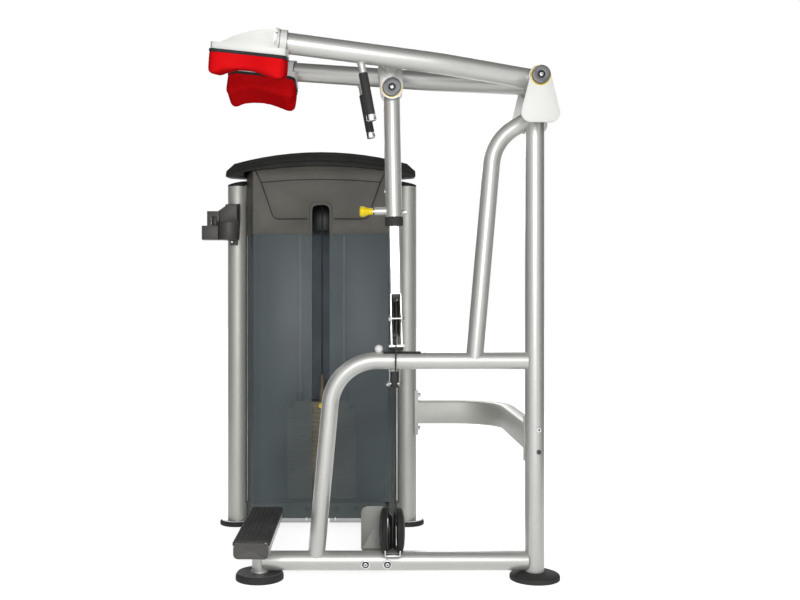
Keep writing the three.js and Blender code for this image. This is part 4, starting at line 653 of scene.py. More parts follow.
def softened(node: str, width: float, segments: int = 2, angle: float = 30) -> Piece:
    """Copy a node of the model, merge its triangles into flat faces and round its edges.

    Args:
        node: The node's name.
        width: The rounding in millimetres.
        segments: The rounding's steps.
        angle: Edges sharper than this many degrees are rounded.

    Returns:
        The new piece.
    """
    source = bpy.data.objects[node]
    piece = bpy.data.objects.new(node + "_shape", source.data.copy())
    piece.data.materials.clear()
    bpy.context.scene.collection.objects.link(piece)
    with editing(piece):
        bpy.ops.mesh.remove_doubles(threshold=MERGE)
        bpy.ops.mesh.dissolve_limited(angle_limit=FLAT_ANGLE)
    return bevelled(piece, width, segments, angle) if width else piece


def dressed(piece: Piece, finish: Finish, *nodes: str, body: Body = Body.FRAME) -> Piece:
    """Give a finished piece its material and its place in the model.

    Args:
        piece: The piece.
        finish: Its surface.
        nodes: The model's nodes that it stands for.
        body: What it moves with.

    Returns:
        The piece.
    """
    only(piece)
    bpy.ops.object.shade_smooth_by_angle(angle=SMOOTH_ANGLE)
    piece.data.materials.clear()
    piece.data.materials.append(finish.material())
    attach(piece, body.value)
    if nodes:
        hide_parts(*nodes)
    LOG.info("%s rides on %s in %s", piece.name, body.value, finish.name)
    return piece


def painted(finish: Finish, *nodes: str) -> None:
    """Keep nodes of the model as they are and give them a material.

    Args:
        finish: The surface.
        nodes: The nodes' names.
    """
    for node in nodes:
        materials = bpy.data.objects[node].data.materials
        if not materials:
            materials.append(None)
        for i in range(len(materials)):
            materials[i] = finish.material()


def socket_bolt(name: str, at: Point, along: Point, radius: float, height: float) -> Piece:
    """Make a button-head bolt with a hexagonal socket.

    Args:
        name: The piece's name.
        at: The middle of the head's underside, in millimetres.
        along: Where the head points.
        radius: The head's radius.
        height: The head's height.

    Returns:
        The bolt's head.
    """
    profile = [(radius, 0), (radius, height * 0.35), (radius * 0.86, height * 0.78), (radius * 0.6, height)]
    head = turned(name, profile, vertices=32)
    socket = turned("socket", [(radius * 0.42, height * 0.3), (radius * 0.42, height * 1.4)], vertices=6)
    return aimed(cut(head, socket), at, along)


def hex_bolt(name: str, at: Point, along: Point, radius: float, height: float) -> Piece:
    """Make a hexagonal head on its washer.

    Args:
        name: The piece's name.
        at: The middle of the washer's underside, in millimetres.
        along: Where the head points.
        radius: The head's radius over its corners.
        height: The height of washer and head.

    Returns:
        The head with its washer.
    """
    rim = height * 0.22
    washer = turned("washer", [(radius * 1.2, 0), (radius * 1.25, rim * 0.3), (radius * 1.22, rim)],
                    vertices=32)
    head = turned(name, [(radius, rim * 0.8), (radius, height * 0.86), (radius * 0.84, height)], vertices=6)
    return aimed(together(washer, head), at, along)


def sliced(piece: Piece, at: Point, away: Point) -> Piece:
    """Cut a piece along a plane and close the cut.

    Args:
        piece: The piece.
        at: A point of the plane, in millimetres.
        away: The plane's normal, towards what is cut off.

    Returns:
        What is left of the piece.
    """
    with editing(piece):
        bpy.ops.mesh.bisect(plane_co=Vector(at) * MM, plane_no=away, use_fill=True, clear_outer=True)
    return piece


def axle_cap(name: str, radius: float, depth: float, at: Point, along: Point, flat: float) -> Piece:
    """Make the shallow cap that covers the end of an axle, with a sunk ring round its bolt.

    Args:
        name: The piece's name.
        radius: Its radius in millimetres.
        depth: How far it stands out.
        at: The middle of its back.
        along: Where it faces.
        flat: How far from the middle the two wrench flats are cut.

    Returns:
        The cap.
    """
    floor = depth - 1.4
    profile = [(radius - 1.2, 0), (radius, 1), (radius, depth - 1.8), (radius - 1.6, depth), (12.4, depth),
               (11.6, floor), (1, floor)]
    cap = turned(name, profile, vertices=64)
    for sign in (-1, 1):
        normal = Vector((-sign, sign, 0)).normalized()
        sliced(cap, normal * flat, normal)
    return aimed(bevelled(cap, 0.5, 2, 40), at, along)


def end_bolt(name: str, at: Point, along: Point, body: Body) -> None:
    """Put a black ring and a bright socket bolt in the middle of a cap, with a dark hexagon of painted
    shade in the bolt's socket.

    Args:
        name: The bolt's name.
        at: The floor of the cap's middle, in millimetres.
        along: Where the cap faces.
        body: What the cap moves with.
    """
    ring = turned(f"{name}_ring", [(11.2, -0.4), (11.2, 1.1), (10.4, 1.6)], at, along, 40)
    dressed(ring, NYLON_AND_PAINTED_SHADE, body=body)
    dressed(socket_bolt(name, Vector(at) + Vector(along) * 1.4, along, 7.4, 4.4), ZINC, body=body)
    # A dark hexagon in the socket: painted shade in the hole.
    dressed(turned(f"{name}_socket", [(3, 4.6), (3, 6), (2.6, 6.1)], at, along, 6), NYLON_AND_PAINTED_SHADE, body=body)


def swollen(piece: Piece, held_above: float, cap: float) -> Piece:
    """Let foam fill its skin: blow a closed shape up with the cloth solver, its top held down.

    Args:
        piece: The closed shape, evenly meshed.
        held_above: Points above this height in millimetres stay.
        cap: The most that a point may move, in millimetres.

    Returns:
        The piece.
    """
    held = piece.vertex_groups.new(name="held")
    held.add([point.index for point in piece.data.vertices if point.co.z > held_above * MM], 1.0, "ADD")
    cloth = piece.modifiers.new("Foam", "CLOTH")
    cloth.settings.use_pressure = True
    cloth.settings.uniform_pressure_force = FOAM_PRESSURE
    cloth.settings.effector_weights.gravity = 0
    cloth.settings.vertex_group_mass = "held"
    scene = bpy.context.scene
    for number in range(1, FOAM_FRAMES + 1):
        scene.frame_set(number)
    puffed = piece.evaluated_get(bpy.context.evaluated_depsgraph_get())
    places = [point.co.copy() for point in puffed.data.vertices]
    piece.modifiers.remove(cloth)
    scene.frame_set(1)
    for point, place in zip(piece.data.vertices, places):
        move = place - point.co
        if move.length > cap * MM:
            move *= cap * MM / move.length
        point.co += move
    return piece


def plate(name: str, circles: Sequence[Point], low: float, high: float, axis: Point = Y_AXIS,
          edge: float = 0.8) -> Piece:
    """Make a flat plate whose outline is a band drawn tight round circles.

    Args:
        name: The piece's name.
        circles: Their centres and radii in the plate's plane, in millimetres, with the axes in the
            order X, Y, Z and the plate's own axis left out.
        low: Where one of the plate's faces lies along its axis.
        high: Where the other lies.
        axis: The plate's axis.
        edge: The rounding of its edges.

    Returns:
        The plate.
    """
    across = list(axis).index(1.0)
    posts = []
    for first, second, radius in circles:
        ends = []
        for height in sorted((low, high)):
            place = [first, second]
            place.insert(across, height)
            ends.append(place)
        posts.append(rod(name, radius, *ends, vertices=64))
    piece = together(*posts)
    piece.name = name
    with editing(piece):
        bpy.ops.mesh.convex_hull()
        bpy.ops.mesh.dissolve_limited(angle_limit=math.radians(1))
    return bevelled(piece, edge) if edge else piece


def section_bar(name: str, size: Point, corner: float, start: Point, end: Point,
                edge: float = 0.8) -> Piece:
    """Make a straight bar of rounded rectangular section.

    Args:
        name: The piece's name.
        size: The section's width and height in millimetres: X and Y for an upright bar, X and Z for
            one along Y, Z and Y for one along X.
        corner: The section's corner radius.
        start: The middle of one end.
        end: The middle of the other end.
        edge: The rounding of the end edges.

    Returns:
        The bar.
    """
    run = Vector(end) - Vector(start)
    bpy.ops.mesh.primitive_plane_add(size=1)
    piece = bpy.context.object
    piece.name = name
    piece.scale = (size[0] * MM, size[1] * MM, 1)
    settle(piece)
    with editing(piece):
        bpy.ops.mesh.bevel(offset=corner * MM, segments=6, affect="VERTICES")
        bpy.ops.mesh.select_all(action="SELECT")
        bpy.ops.mesh.extrude_region_move(TRANSFORM_OT_translate={"value": (0, 0, run.length * MM)})
    if edge:
        bevelled(piece, edge, 2, 40)
    return aimed(piece, start, run)


def weld(name: str, radius: float, at: Point, along: Point, bead: float = 2.4) -> Piece:
    """Make a ring of weld bead round a tube.

    Args:
        name: The piece's name.
        radius: The tube's radius in millimetres.
        at: The ring's centre.
        along: The tube's direction.
        bead: The bead's radius.

    Returns:
        The ring.
    """
    bpy.ops.mesh.primitive_torus_add(major_radius=radius * MM, minor_radius=bead * MM, major_segments=56,
                                     minor_segments=8)
    piece = bpy.context.object
    piece.name = name
    return aimed(piece, at, along)


SIDES = (("front", -1.0), ("back", 1.0))
FRONT_WHEEL = (-473.0, 0.0, 160.0)


# The sub-assemblies


@dataclass
class AxleEnds:
    """The brass rim, washer, cap and bolt on both ends of an axle along Y.

    Sizes are radii and depths in millimetres. Each out value is how far a piece stands from the rim's
    back, and each lift is how far its middle stands above the axle.
    """

    rim_name: str
    cap_name: str
    node: str
    body: Body
    at: tuple
    rim: tuple
    washer_depth: float
    cap: tuple
    out: tuple
    lift: tuple

    def build(self) -> None:
        """Stack the pieces outward from the plate at each end."""
        x, y, z = self.at
        rim_radius, rim_edge, rim_depth = self.rim
        radius, cap_depth, flat = self.cap
        lift, bolt_lift = self.lift
        rim_profile = [(rim_radius, 0), (rim_radius + 0.4, rim_edge), (rim_radius, rim_depth)]
        washer_profile = [(radius, 0), (radius + 0.2, 0.5), (radius, self.washer_depth)]
        for side, sign in SIDES:
            facing = (0, sign, 0)
            washer_y, cap_y, bolt_y = (sign * (y + step) for step in self.out)
            rim = turned(f"{self.rim_name}_bush_{side}", rim_profile, (x, sign * y, z), facing)
            dressed(rim, BRASS, self.node, body=self.body)
            name = f"{self.rim_name}_washer_{side}"
            washer = turned(name, washer_profile, (x, washer_y, z + lift), facing)
            dressed(washer, CAP_METAL_AND_GAP_SHADE, self.node, body=self.body)
            name = f"{self.cap_name}_cap_{side}"
            cap = axle_cap(name, radius, cap_depth, (x, cap_y, z + lift), facing, flat)
            dressed(cap, CAP_METAL_AND_GAP_SHADE, self.node, body=self.body)
            end_bolt(f"{self.cap_name}_bolt_{side}", (x, bolt_y, z + bolt_lift), facing, self.body)


@dataclass
class FrontFrame:
    """Main post, base tube, middle tube and brace, welded from round tube."""

    post_radius: float = 31.75
    head_radius: float = 30.0
    head_half: float = 102.5
    head_z: float = 1540.0
    base_radius: float = 32.0
    base_z: float = 61.0
    base_left: float = -902.0
    rail_radius: float = 28.5
    rail_z: float = 723.7
    rail_left: float = -724.4

    def build(self) -> None:
        """Build and dress all the frame's tubes, its foot, plates and axle."""
        self.post()
        self.base()
        self.rail()
        self.plates()

    def post(self) -> None:
        """Raise the post on its rubber foot, with the head tube across its top."""
        upright = rod("main_post_tube", self.post_radius, (0, 0, 6.4), (0, 0, self.head_z))
        half = self.head_half
        head = rod("head", self.head_radius, (0, -half, self.head_z), (0, half, self.head_z))
        bevelled(head, 1.2)
        dressed(fused(upright, head), SILVER, "main_post")
        profile = [(80, 0.2), (83, 1.8), (83.3, 10), (82.4, 14), (79.4, 17.6), (71, 21), (58, 24.2),
                   (46, 26.3), (42, 26.6)]
        dressed(turned("post_foot_dome", profile, vertices=64), RUBBER, "post_foot")

    def base(self) -> None:
        """Lay the base tube with the bracket of the front cable wheel on it."""
        ends = (self.base_left, 0, self.base_z), (-24, 0, self.base_z)
        dressed(rod("base_tube_round", self.base_radius, *ends), SILVER, "base_tube")
        outline = [(-25, 93, 5), (25, 93, 5), (0, 160, 18)]
        legs = [plate(f"bracket_leg_{x}", outline, x, x + 5, X_AXIS) for x in (-497, -454)]
        floor = block("bracket_floor", (-497, -55, 90.5), (-449, 55, 97.6), 1.6, 3)
        dressed(together(*legs, floor), SILVER, "base_tube")
        face = -self.base_radius
        for i, x in enumerate((-561.0, -489.0)):
            profile = [(13, 0), (13, 2.4), (12, 3), (10.4, 3), (10.2, 2)]
            washer = turned(f"base_washer_{i}", profile, (x, face + 0.4, 56), FORWARD)
            end_bolt(f"base_bolt_{i}", (x, face - 1.8, 56), FORWARD, Body.FRAME)
            profile = [(15.5, -2.5), (15.5, 1.2), (14.6, 2)]
            ring = turned(f"base_washer_{i}", profile, (x, face + 0.6, 56), FORWARD)
            dressed(washer, ZINC)
            dressed(ring, ZINC)

    def rail(self) -> None:
        """Bend the middle tube and the brace, and hang the cable anchor on the tube."""
        corners = [(self.rail_left, 0, self.base_z + 12), (-665.3, 0, self.rail_z), (-24, 0, self.rail_z)]
        dressed(tube("middle_rail", corners, [155], self.rail_radius), SILVER, "mid_tube")
        outline = [(-10, 705, 8), (56, 648, 14), (56, 695, 14)]
        straps = [plate(f"anchor_strap_{x}", outline, x, x + 3.5, X_AXIS, 0.5) for x in (-482.5, -449)]
        crown = block("anchor_crown", (-484, 40, 684.5), (-444, 72, 693), 1.6)
        dressed(together(*straps, crown), SILVER, "mid_tube")
        clamp = block("cable_clamp", (-474.5, 44, 630), (-453, 68, 688.5), 2, 3)
        dressed(clamp, NYLON_AND_PAINTED_SHADE)
        dressed(rod("anchor_pin", 4.2, (-490, 56, 643), (-438, 56, 643), 24), ZINC)
        dressed(hex_bolt("anchor_bolt_left", (-482.6, 56, 643), (-1, 0, 0), 8, 8), ZINC)
        dressed(hex_bolt("anchor_bolt_right", (-445.4, 56, 643), (1, 0, 0), 8, 8), DARK_PAINT)
        corners = [(-199, 0, self.rail_z + 8), (-137, 0, 1450), (-12, 0, self.head_z - 8)]
        dressed(tube("brace_bent", corners, [150], self.rail_radius), SILVER, "brace_tube")

    def plates(self) -> None:
        """Bolt the two pivot plates on, put the axle's caps outside them and two screws in the post, with
        painted shade in their sockets.
        """
        outline = [(-32, 1525, 30), (32, 1525, 30), (0, 1645, 33)]
        for side, sign in SIDES:
            pivot = plate(f"pivot_plate_{side}_cut", outline, 103 * sign, 115 * sign, edge=1.5)
            # The pivot plates are silver paint too; their near white is painted light.
            dressed(pivot, PAINTED_LIGHT_SILVER, f"pivot_plate_{side}")
        AxleEnds("axle", "axle", "hub_axle", Body.FRAME, (0, 115.2, 1645), rim=(32.4, 0.6, 2.6),
                 washer_depth=3, cap=(30, 10.6, 24), out=(1.8, 2.4, 11.6), lift=(0.4, 0.4)).build()
        facing = (0.2, -1, 0)
        for i, z in enumerate((498.0, 425.0)):
            profile = [(8.2, -1), (8.2, 2.6), (7, 3.6), (4, 3.6)]
            rim = turned(f"post_washer_{i}", profile, (8.6, -30.4, z), facing, 32)
            dressed(rim, ZINC if i == 0 else CAP_METAL_AND_GAP_SHADE)
            # A dark hexagon in each screw's socket: painted shade in the hole.
            hole = turned(f"post_socket_{i}", [(3.6, 0), (3.6, 4.2)], (8.6, -30.4, z), facing, 6)
            dressed(hole, NYLON_AND_PAINTED_SHADE)


@dataclass
class FootStep:
    """The step that the toes stand on: post, beam, end caps and ribbed tread."""

    x: float = -912.0
    beam_half: float = 248.0

    def build(self) -> None:
        """Build the step's pieces."""
        place = (self.x, 0, 0)
        dressed(rod("step_post_tube", 25.5, (self.x, 0, 25), (self.x, 0, 132)), SILVER, "step_post")
        profile = [(77, 0.2), (79.6, 2), (79.8, 9), (79.2, 15), (77.6, 19.5), (75.4, 22.4), (73, 23)]
        dressed(turned("step_foot_rubber", profile, place, vertices=64), RUBBER, "step_post")
        profile = [(72, 22.6), (74, 23.2), (74, 24.6), (73, 25.4), (40, 25.6)]
        dressed(turned("step_foot_disc", profile, place, vertices=64), CAP_METAL_AND_GAP_SHADE, "step_post")
        dressed(turned("step_foot_collar", [(29, 25.3), (28.4, 28.5), (26.2, 31)], place), SILVER)
        half = self.beam_half - 0.3
        beam = section_bar("step_beam_box", (107.6, 48.6), 13, (self.x, -half, 156.5),
                           (self.x, half, 156.5))
        dressed(beam, SILVER, "step_beam")
        for side, _ in SIDES:
            dressed(softened(f"step_cap_{side}", 1.1, 3, 18), CUP_PLASTIC, f"step_cap_{side}")
        dressed(softened("step_tread", 0.5, 2, 18), TREAD, "step_tread")
        dressed(weld("step_post_weld", 26, (self.x, 0, 131.4), Z_AXIS), SILVER)


@dataclass
class LeverYoke:
    """The swinging yoke: hub tube, two bent arms with grips, cross tube with its ears."""

    pivot_z: float = 1645.0
    arm_radius: float = 33.0
    arm_bend: float = 600.0
    grip_top: tuple = (-581.0, 163.8, 1703.7)
    grip_down: tuple = (34.0, 0.0, -181.0)

    def build(self) -> None:
        """Build the yoke's pieces."""
        hub = rod("hub_tube_round", 36, (0, -102, self.pivot_z), (0, 102, self.pivot_z), 56)
        dressed(bevelled(hub, 1.4), SILVER, "hub_tube", body=Body.LEVER)
        for side, sign in SIDES:
            self.arm(side, sign)
            self.grip(side, sign)
        self.cross_tube()

    def arm(self, side: str, sign: float) -> None:
        """Bend one arm from the hub out to the pad.

        Args:
            side: The arm's name.
            sign: -1 for the front, +1 for the back.
        """
        corners = [(0, 39 * sign, self.pivot_z), (-322, 129 * sign, 1678), (-824, 196.8 * sign, 1727.8)]
        dressed(tube(f"arm_{side}_bent", corners, [self.arm_bend], self.arm_radius, 48), SILVER,
                f"arm_{side}", body=Body.LEVER)

    def grip(self, side: str, sign: float) -> None:
        """Hang one grip under its arm.

        Args:
            side: The grip's name.
            sign: -1 for the front, +1 for the back.
        """
        top = Vector(self.grip_top)
        top.y *= sign
        down = Vector(self.grip_down).normalized()
        stub = rod(f"grip_stub_{side}", 12, top, top + down * 194, 32)
        dressed(stub, SILVER, f"arm_{side}", body=Body.LEVER)
        sleeve = [(12.6, 0), (14.2, 1.2), (14.6, 3)]
        for k in range(1, 13):
            z = 3 + k * 9.6
            sleeve += [(14.6, z - 1.6), (13.9, z - 0.8), (13.9, z + 0.4), (14.6, z + 1.2)]
        sleeve += [(14.6, 130), (14, 132.6), (12.8, 132.8)]
        dressed(turned(f"grip_sleeve_{side}", sleeve, top + down * 65.4, down, 40), RUBBER,
                f"grip_{side}", body=Body.LEVER)
        end = [(14.4, 0), (15.4, 0.8), (15.7, 2), (15.7, 15), (15, 18.6), (12.6, 20.6), (8, 20.9)]
        dressed(turned(f"grip_end_{side}", end, top + down * 198.4, down, 40), CHROME, f"grip_{side}",
                body=Body.LEVER)
        dressed(weld(f"grip_weld_{side}", 12.4, top + down * 34, down, 2), SILVER, body=Body.LEVER)

    def cross_tube(self) -> None:
        """Put the cross tube between the arms, with the ears that carry the push rod."""
        cross = rod("cross_tube_round", 30, (-481, -150, 1693), (-481, 150, 1693))
        dressed(cross, SILVER, "cross_tube", body=Body.LEVER)
        outline = [(-475, 1620, 37), (-481, 1693, 39)]
        for side, sign in SIDES:
            ear = plate(f"ear_{side}", outline, 38.2 * sign, 47.8 * sign, edge=1.2)
            dressed(ear, SILVER, "cross_tube", body=Body.LEVER)
        AxleEnds("link", "link_axle", "link_axle", Body.LEVER, (-475, 48, 1620), rim=(32.2, 0.5, 1.8),
                 washer_depth=2.4, cap=(31, 9.4, 25), out=(1, 1.6, 9.8), lift=(0.8, 0)).build()


@dataclass
class ShoulderPads:
    """Two moulded cushions on their boards and steel pans, each with an arch for a shoulder."""

    middle: tuple = (-921.0, 205.0, 1692.5)
    roll: float = 0.19
    pitch: float = 0.103
    length: float = 234.0
    width: float = 160.0
    corner: float = 27.0
    board: float = 9.6
    foam: float = 60.0
    edge: float = 10.0
    voxel: float = 5.0
    swell: float = 5.0
    # Thickness of the foam at shares of the pad's length; a little more at the ends, which get rounded.
    depths: tuple = ((0.0, 63), (0.06, 66), (0.11, 62), (0.17, 54.5), (0.23, 48), (0.34, 40), (0.5, 38),
                     (0.62, 42), (0.72, 47.5), (0.81, 53.5), (0.88, 59.5), (0.94, 61.5), (1.0, 59))

    def build(self) -> None:
        """Mould one cushion and hang a copy of it under each pan."""
        master = self.cushion()
        for side, sign in SIDES:
            # The pans are silver paint too; their near white is painted light.
            dressed(softened(f"pad_bracket_{side}", 1.6, 3, 25), PAINTED_LIGHT_SILVER, f"pad_bracket_{side}",
                    body=Body.LEVER)
            # Dark rings at both ends of each clamp: painted shade in the gaps.
            profile = [(38, -1.1), (39.5, -1.1), (39.5, 1.1), (38, 1.1)]
            along = (-0.9863, 0.133 * sign, 0.0978)
            for i, (x, y, z) in enumerate(((-830.6, 197.6, 1728.4), (-807.5, 194.5, 1726.2))):
                shade_ring = turned(f"clamp_seam_{side}_{i}", profile, (x, y * sign, z), along, 56)
                dressed(shade_ring, CAP_METAL_AND_GAP_SHADE, body=Body.LEVER)
            size = (self.length + 2, self.width + 1)
            board = section_bar(f"pad_board_{side}", size, self.corner - 2, (0, 0, -self.board),
                                (0, 0, -0.4), 1.2)
            dressed(self.hung(board, sign), BOARD, f"pad_{side}", body=Body.LEVER)
            cushion = bpy.data.objects.new(f"cushion_{side}", master.data.copy())
            bpy.context.scene.collection.objects.link(cushion)
            dressed(self.hung(cushion, sign), RED, f"pad_{side}", body=Body.LEVER)
        bpy.data.objects.remove(master)

    def hung(self, piece: Piece, sign: float) -> Piece:
        """Turn a piece into the pad's plane and move it under the arm.

        Args:
            piece: The piece, built about the middle of the board's upper face.
            sign: -1 for the front pad, +1 for the back one.

        Returns:
            The piece.
        """
        x, y, z = self.middle
        turn = Matrix.Rotation(-sign * self.roll, 4, "X") @ Matrix.Rotation(self.pitch, 4, "Y")
        piece.matrix_world = Matrix.Translation(Vector((x, y * sign, z)) * MM) @ turn
        return settle(piece)

    def cushion(self) -> Piece:
        """Raise the foam block, carve its arch, and let the foam fill the skin.

        Returns:
            The cushion, about the middle of the board's upper face.
        """
        top = -self.board
        size = (self.length, self.width)
        foam = section_bar("cushion", size, self.corner, (0, 0, top - self.foam), (0, 0, top), 0)
        with editing(foam) as mesh:
            bpy.ops.mesh.select_all(action="DESELECT")
            for face in mesh.faces:
                face.select_set(face.calc_center_median().z < (top - self.foam + 1) * MM)
            mesh.select_flush_mode()
            bmesh.update_edit_mesh(foam.data)
            bpy.ops.mesh.bevel(offset=self.edge * MM, segments=5, affect="EDGES")
        modify(foam, "REMESH", mode="VOXEL", voxel_size=self.voxel * MM)
        for point in foam.data.vertices:
            share = point.co.x / (self.length * MM) + 0.5
            point.co.z = top * MM + (point.co.z - top * MM) * self.depth(share) / self.foam
        swollen(foam, top - 1.5, self.swell)
        return modify(foam, "SUBSURF", levels=1, render_levels=1)

    def depth(self, share: float) -> float:
        """Give the foam's thickness at a share of the pad's length, straight between the stations.

        Args:
            share: 0 at the outer end, 1 at the machine's end.

        Returns:
            The thickness in millimetres.
        """
        share = min(1.0, max(0.0, share))
        for (start, first), (end, last) in zip(self.depths, self.depths[1:]):
            if share <= end:
                mix = (share - start) / (end - start)
                return first + (last - first) * mix
        return self.depths[-1][1]


ROD_PIN = Vector((-475, 0, 1620))
ROD_LEAN = Matrix.Rotation(-0.0199, 4, "Y")


def linked(x: float, y: float, drop: float) -> Vector:
    """Give the place of a point of the push rod from its drop below the pin, in millimetres."""
    return Matrix.Translation(ROD_PIN) @ ROD_LEAN @ Vector((x, y, -drop))


def leaned(piece: Piece) -> Piece:
    """Move a piece that was built with the pin at the origin to its place on the push rod."""
    piece.matrix_world = Matrix.Translation(ROD_PIN * MM) @ ROD_LEAN
    return settle(piece)


@dataclass
class PushRod:
    """The telescoping rod from the yoke down to its cable wheel."""

    wheel_drop: float = 755.0
    pin_drop: float = 400.0

    def build(self) -> None:
        """Build the tube, the square rod, its fork and the stop."""
        down = linked(0, 0, 1) - linked(0, 0, 0)
        side = linked(1, 0, 0) - linked(0, 0, 0)
        upper = rod("link_tube_round", 27.5, linked(0, 0, 10), linked(0, 0, 433))
        bearing = bevelled(rod("bearing", 30, linked(0, -36.8, 0), linked(0, 36.8, 0)), 1)
        dressed(fused(upper, bearing), SILVER, "link_tube", body=Body.PUSH_ROD)
        profile = [(28, 0), (30, 1), (30.3, 2.6), (30.3, 26), (29.6, 29), (27, 29.8)]
        collar = turned("rod_collar_round", profile, linked(0, 0, 420), down, 48)
        dressed(collar, RUBBER, "link_collar", body=Body.PUSH_ROD)
        stem = section_bar("rod_square", (37.8, 37.8), 6, linked(0, 0, 448), linked(0, 0, 676))
        dressed(stem, CHROME, "link_rod", body=Body.PUSH_ROD)
        dressed(softened("link_rod", 0.8, 2, 25), CHROME, "link_rod", body=Body.PUSH_ROD)
        profile = [(22.2, 0), (22.6, 1), (22, 5), (20.4, 10.6), (19.4, 12.2)]
        dressed(turned("stop_buffer", profile, linked(0, 0, 850.6), down, 40), RUBBER, "link_stop",
                body=Body.PUSH_ROD)
        dressed(socket_bolt("tube_screw", linked(-26.6, -6, 336), -side, 5.4, 5), ZINC, body=Body.PUSH_ROD)
        self.pull_pin(side)
        self.keeper(side)

    def pull_pin(self, side: Vector) -> None:
        """Build the barrel, the pin with its knob, and the nut on the far side.

        Args:
            side: The rod's own X direction.
        """
        drop = self.pin_drop
        profile = [(13.2, 0), (13.2, 34), (12.4, 35), (12.4, 39), (11.2, 40)]
        barrel = turned("pin_barrel", profile, linked(-25, 0, drop), -side, 40)
        dressed(barrel, SILVER, "link_tube", body=Body.PUSH_ROD)
        profile = [(10, 0), (11, 1), (11.2, 9), (12, 16), (14.6, 24), (17.2, 30), (18, 34), (18, 38),
                   (16.8, 41.6), (13, 44.2), (7, 45)]
        knob = turned("pull_knob", profile, linked(-69.5, 0, drop), -side, 48)
        dressed(knob, YELLOW, "pull_pin", body=Body.PULL_PIN)
        dressed(rod("pin_plunger", 5, linked(-8, 0, drop), linked(-72, 0, drop), 24), ZINC,
                body=Body.PULL_PIN)
        dressed(hex_bolt("pin_guide_nut", linked(27.2, 0, drop + 4), side, 7.4, 6), ZINC,
                body=Body.PUSH_ROD)
        end = rod("pin_guide_end", 4.6, linked(30, 0, drop + 4), linked(42, 0, drop + 4), 20)
        dressed(end, ZINC, body=Body.PUSH_ROD)

    def keeper(self, side: Vector) -> None:
        """Put the pin that keeps the cable in the wheel's groove across the front of the fork.

        Args:
            side: The rod's own X direction.
        """
        left = block("keeper_ear_left", (-18.4, -73, -762), (-15.2, -20, -748), 1)
        right = block("keeper_ear_right", (15.2, -73, -762), (18.4, -20, -748), 1)
        dressed(leaned(together(left, right)), ZINC, body=Body.PUSH_ROD)
        drop = self.wheel_drop
        pin = rod("keeper_pin", 2.6, linked(-26, -68, drop), linked(26, -68, drop), 20)
        dressed(pin, ZINC, body=Body.PUSH_ROD)
        dressed(hex_bolt("keeper_head", linked(-18.4, -68, drop), -side, 6.4, 7), ZINC, body=Body.PUSH_ROD)
        dressed(hex_bolt("keeper_nut", linked(18.4, -68, drop), side, 6.4, 7), DARK_PAINT,
                body=Body.PUSH_ROD)
        lining = block("fork_lining", (-14.6, -12, -692), (14.6, 12, -672.5), 1)
        dressed(leaned(lining), NYLON_AND_PAINTED_SHADE, body=Body.PUSH_ROD)


@dataclass
class CableWheel:
    """A grooved nylon wheel."""

    name: str
    node: str
    body: Body
    centre: tuple
    axis: tuple
    rim: float = 62.0
    pitch: float = 56.0

    def build(self) -> None:
        """Turn the wheel with its rope groove, hub boss and web."""
        floor = self.pitch - 2.9
        web = self.rim - 16
        half = [
            (6, -10.5), (15, -10.5), (16, -9.5), (17, -5), (web - 3, -5), (web, -8), (web + 1, -11),
            (web + 2, -11.8), (self.rim - 1, -11.8), (self.rim, -10.8), (self.rim, -8.6),
            (self.rim - 1.2, -7.6), (floor + 1.6, -3.2), (floor + 0.4, -1.8), (floor, 0),
        ]
        stations = half + [(radius, -height) for radius, height in reversed(half[:-1])]
        wheel = turned(f"{self.name}_sheave", stations, self.centre, self.axis, 64)
        dressed(wheel, NYLON_AND_PAINTED_SHADE, self.node, body=self.body)


@dataclass
class WheelGuards:
    """Two dished guards on the front wheel's axle, with the guide strap under them."""

    centre: tuple = FRONT_WHEEL
    strap_x: float = 24.0

    def build(self) -> None:
        """Build each dish, and the strap's legs and bridge."""
        profile = [(73, 0), (74.6, 0.4), (74.8, 12.6), (73.4, 14.8), (67.5, 18.3), (57, 21.4), (45, 23.8),
                   (25, 25.3), (6, 25.8)]
        x, _, z = self.centre
        for name, sign in (("left", -1.0), ("right", 1.0)):
            dish = turned(f"guard_{name}", profile, (x + sign * 16.7, 0, z), (sign, 0, 0), 64)
            dressed(dish, DARK_PLASTIC_AND_COVER_SHADE, "wheel_guards")
            leg_x = x + sign * self.strap_x
            leg = block(f"guide_leg_{name}", (leg_x - 2.2, -79, 94), (leg_x + 2.2, -58, 112), 1.4)
            dressed(leg, ZINC)
        dressed(block("guide_bridge", (x - 25, -79, 93), (x + 25, -58, 97.6), 1.4), ZINC)


@dataclass
class CableRuns:
    """The coated wire rope, from the stack over the wheels to the middle tube."""

    def build(self) -> None:
        """Lay the fixed run, coat the model's straight runs, and start both strands inside the fork."""
        corners = [(-740, 805, 1385), (-740, 805, 1441), (-473, 805, 1441), (-473, 805, 104),
                   (-473, -56, 104), (-473, -56, 160.6)]
        dressed(tube("rope_main", corners, [55.9, 55.9, 43.9, 55.9], ROPE_RADIUS, 12), CORD, "cable_main")
        painted(CORD, "cable_stack", "cable_front_run", "cable_back_run", "cable_link_wrap")
        for side, y, x in (("front", -56.0, -462.9), ("back", 56.0, -463.1)):
            strand = rod(f"rope_inner_{side}", 2.4, (-459.95, y, 864.8), (x, y, 704.6), 12)
            dressed(strand, CORD, body=Body.PUSH_ROD)


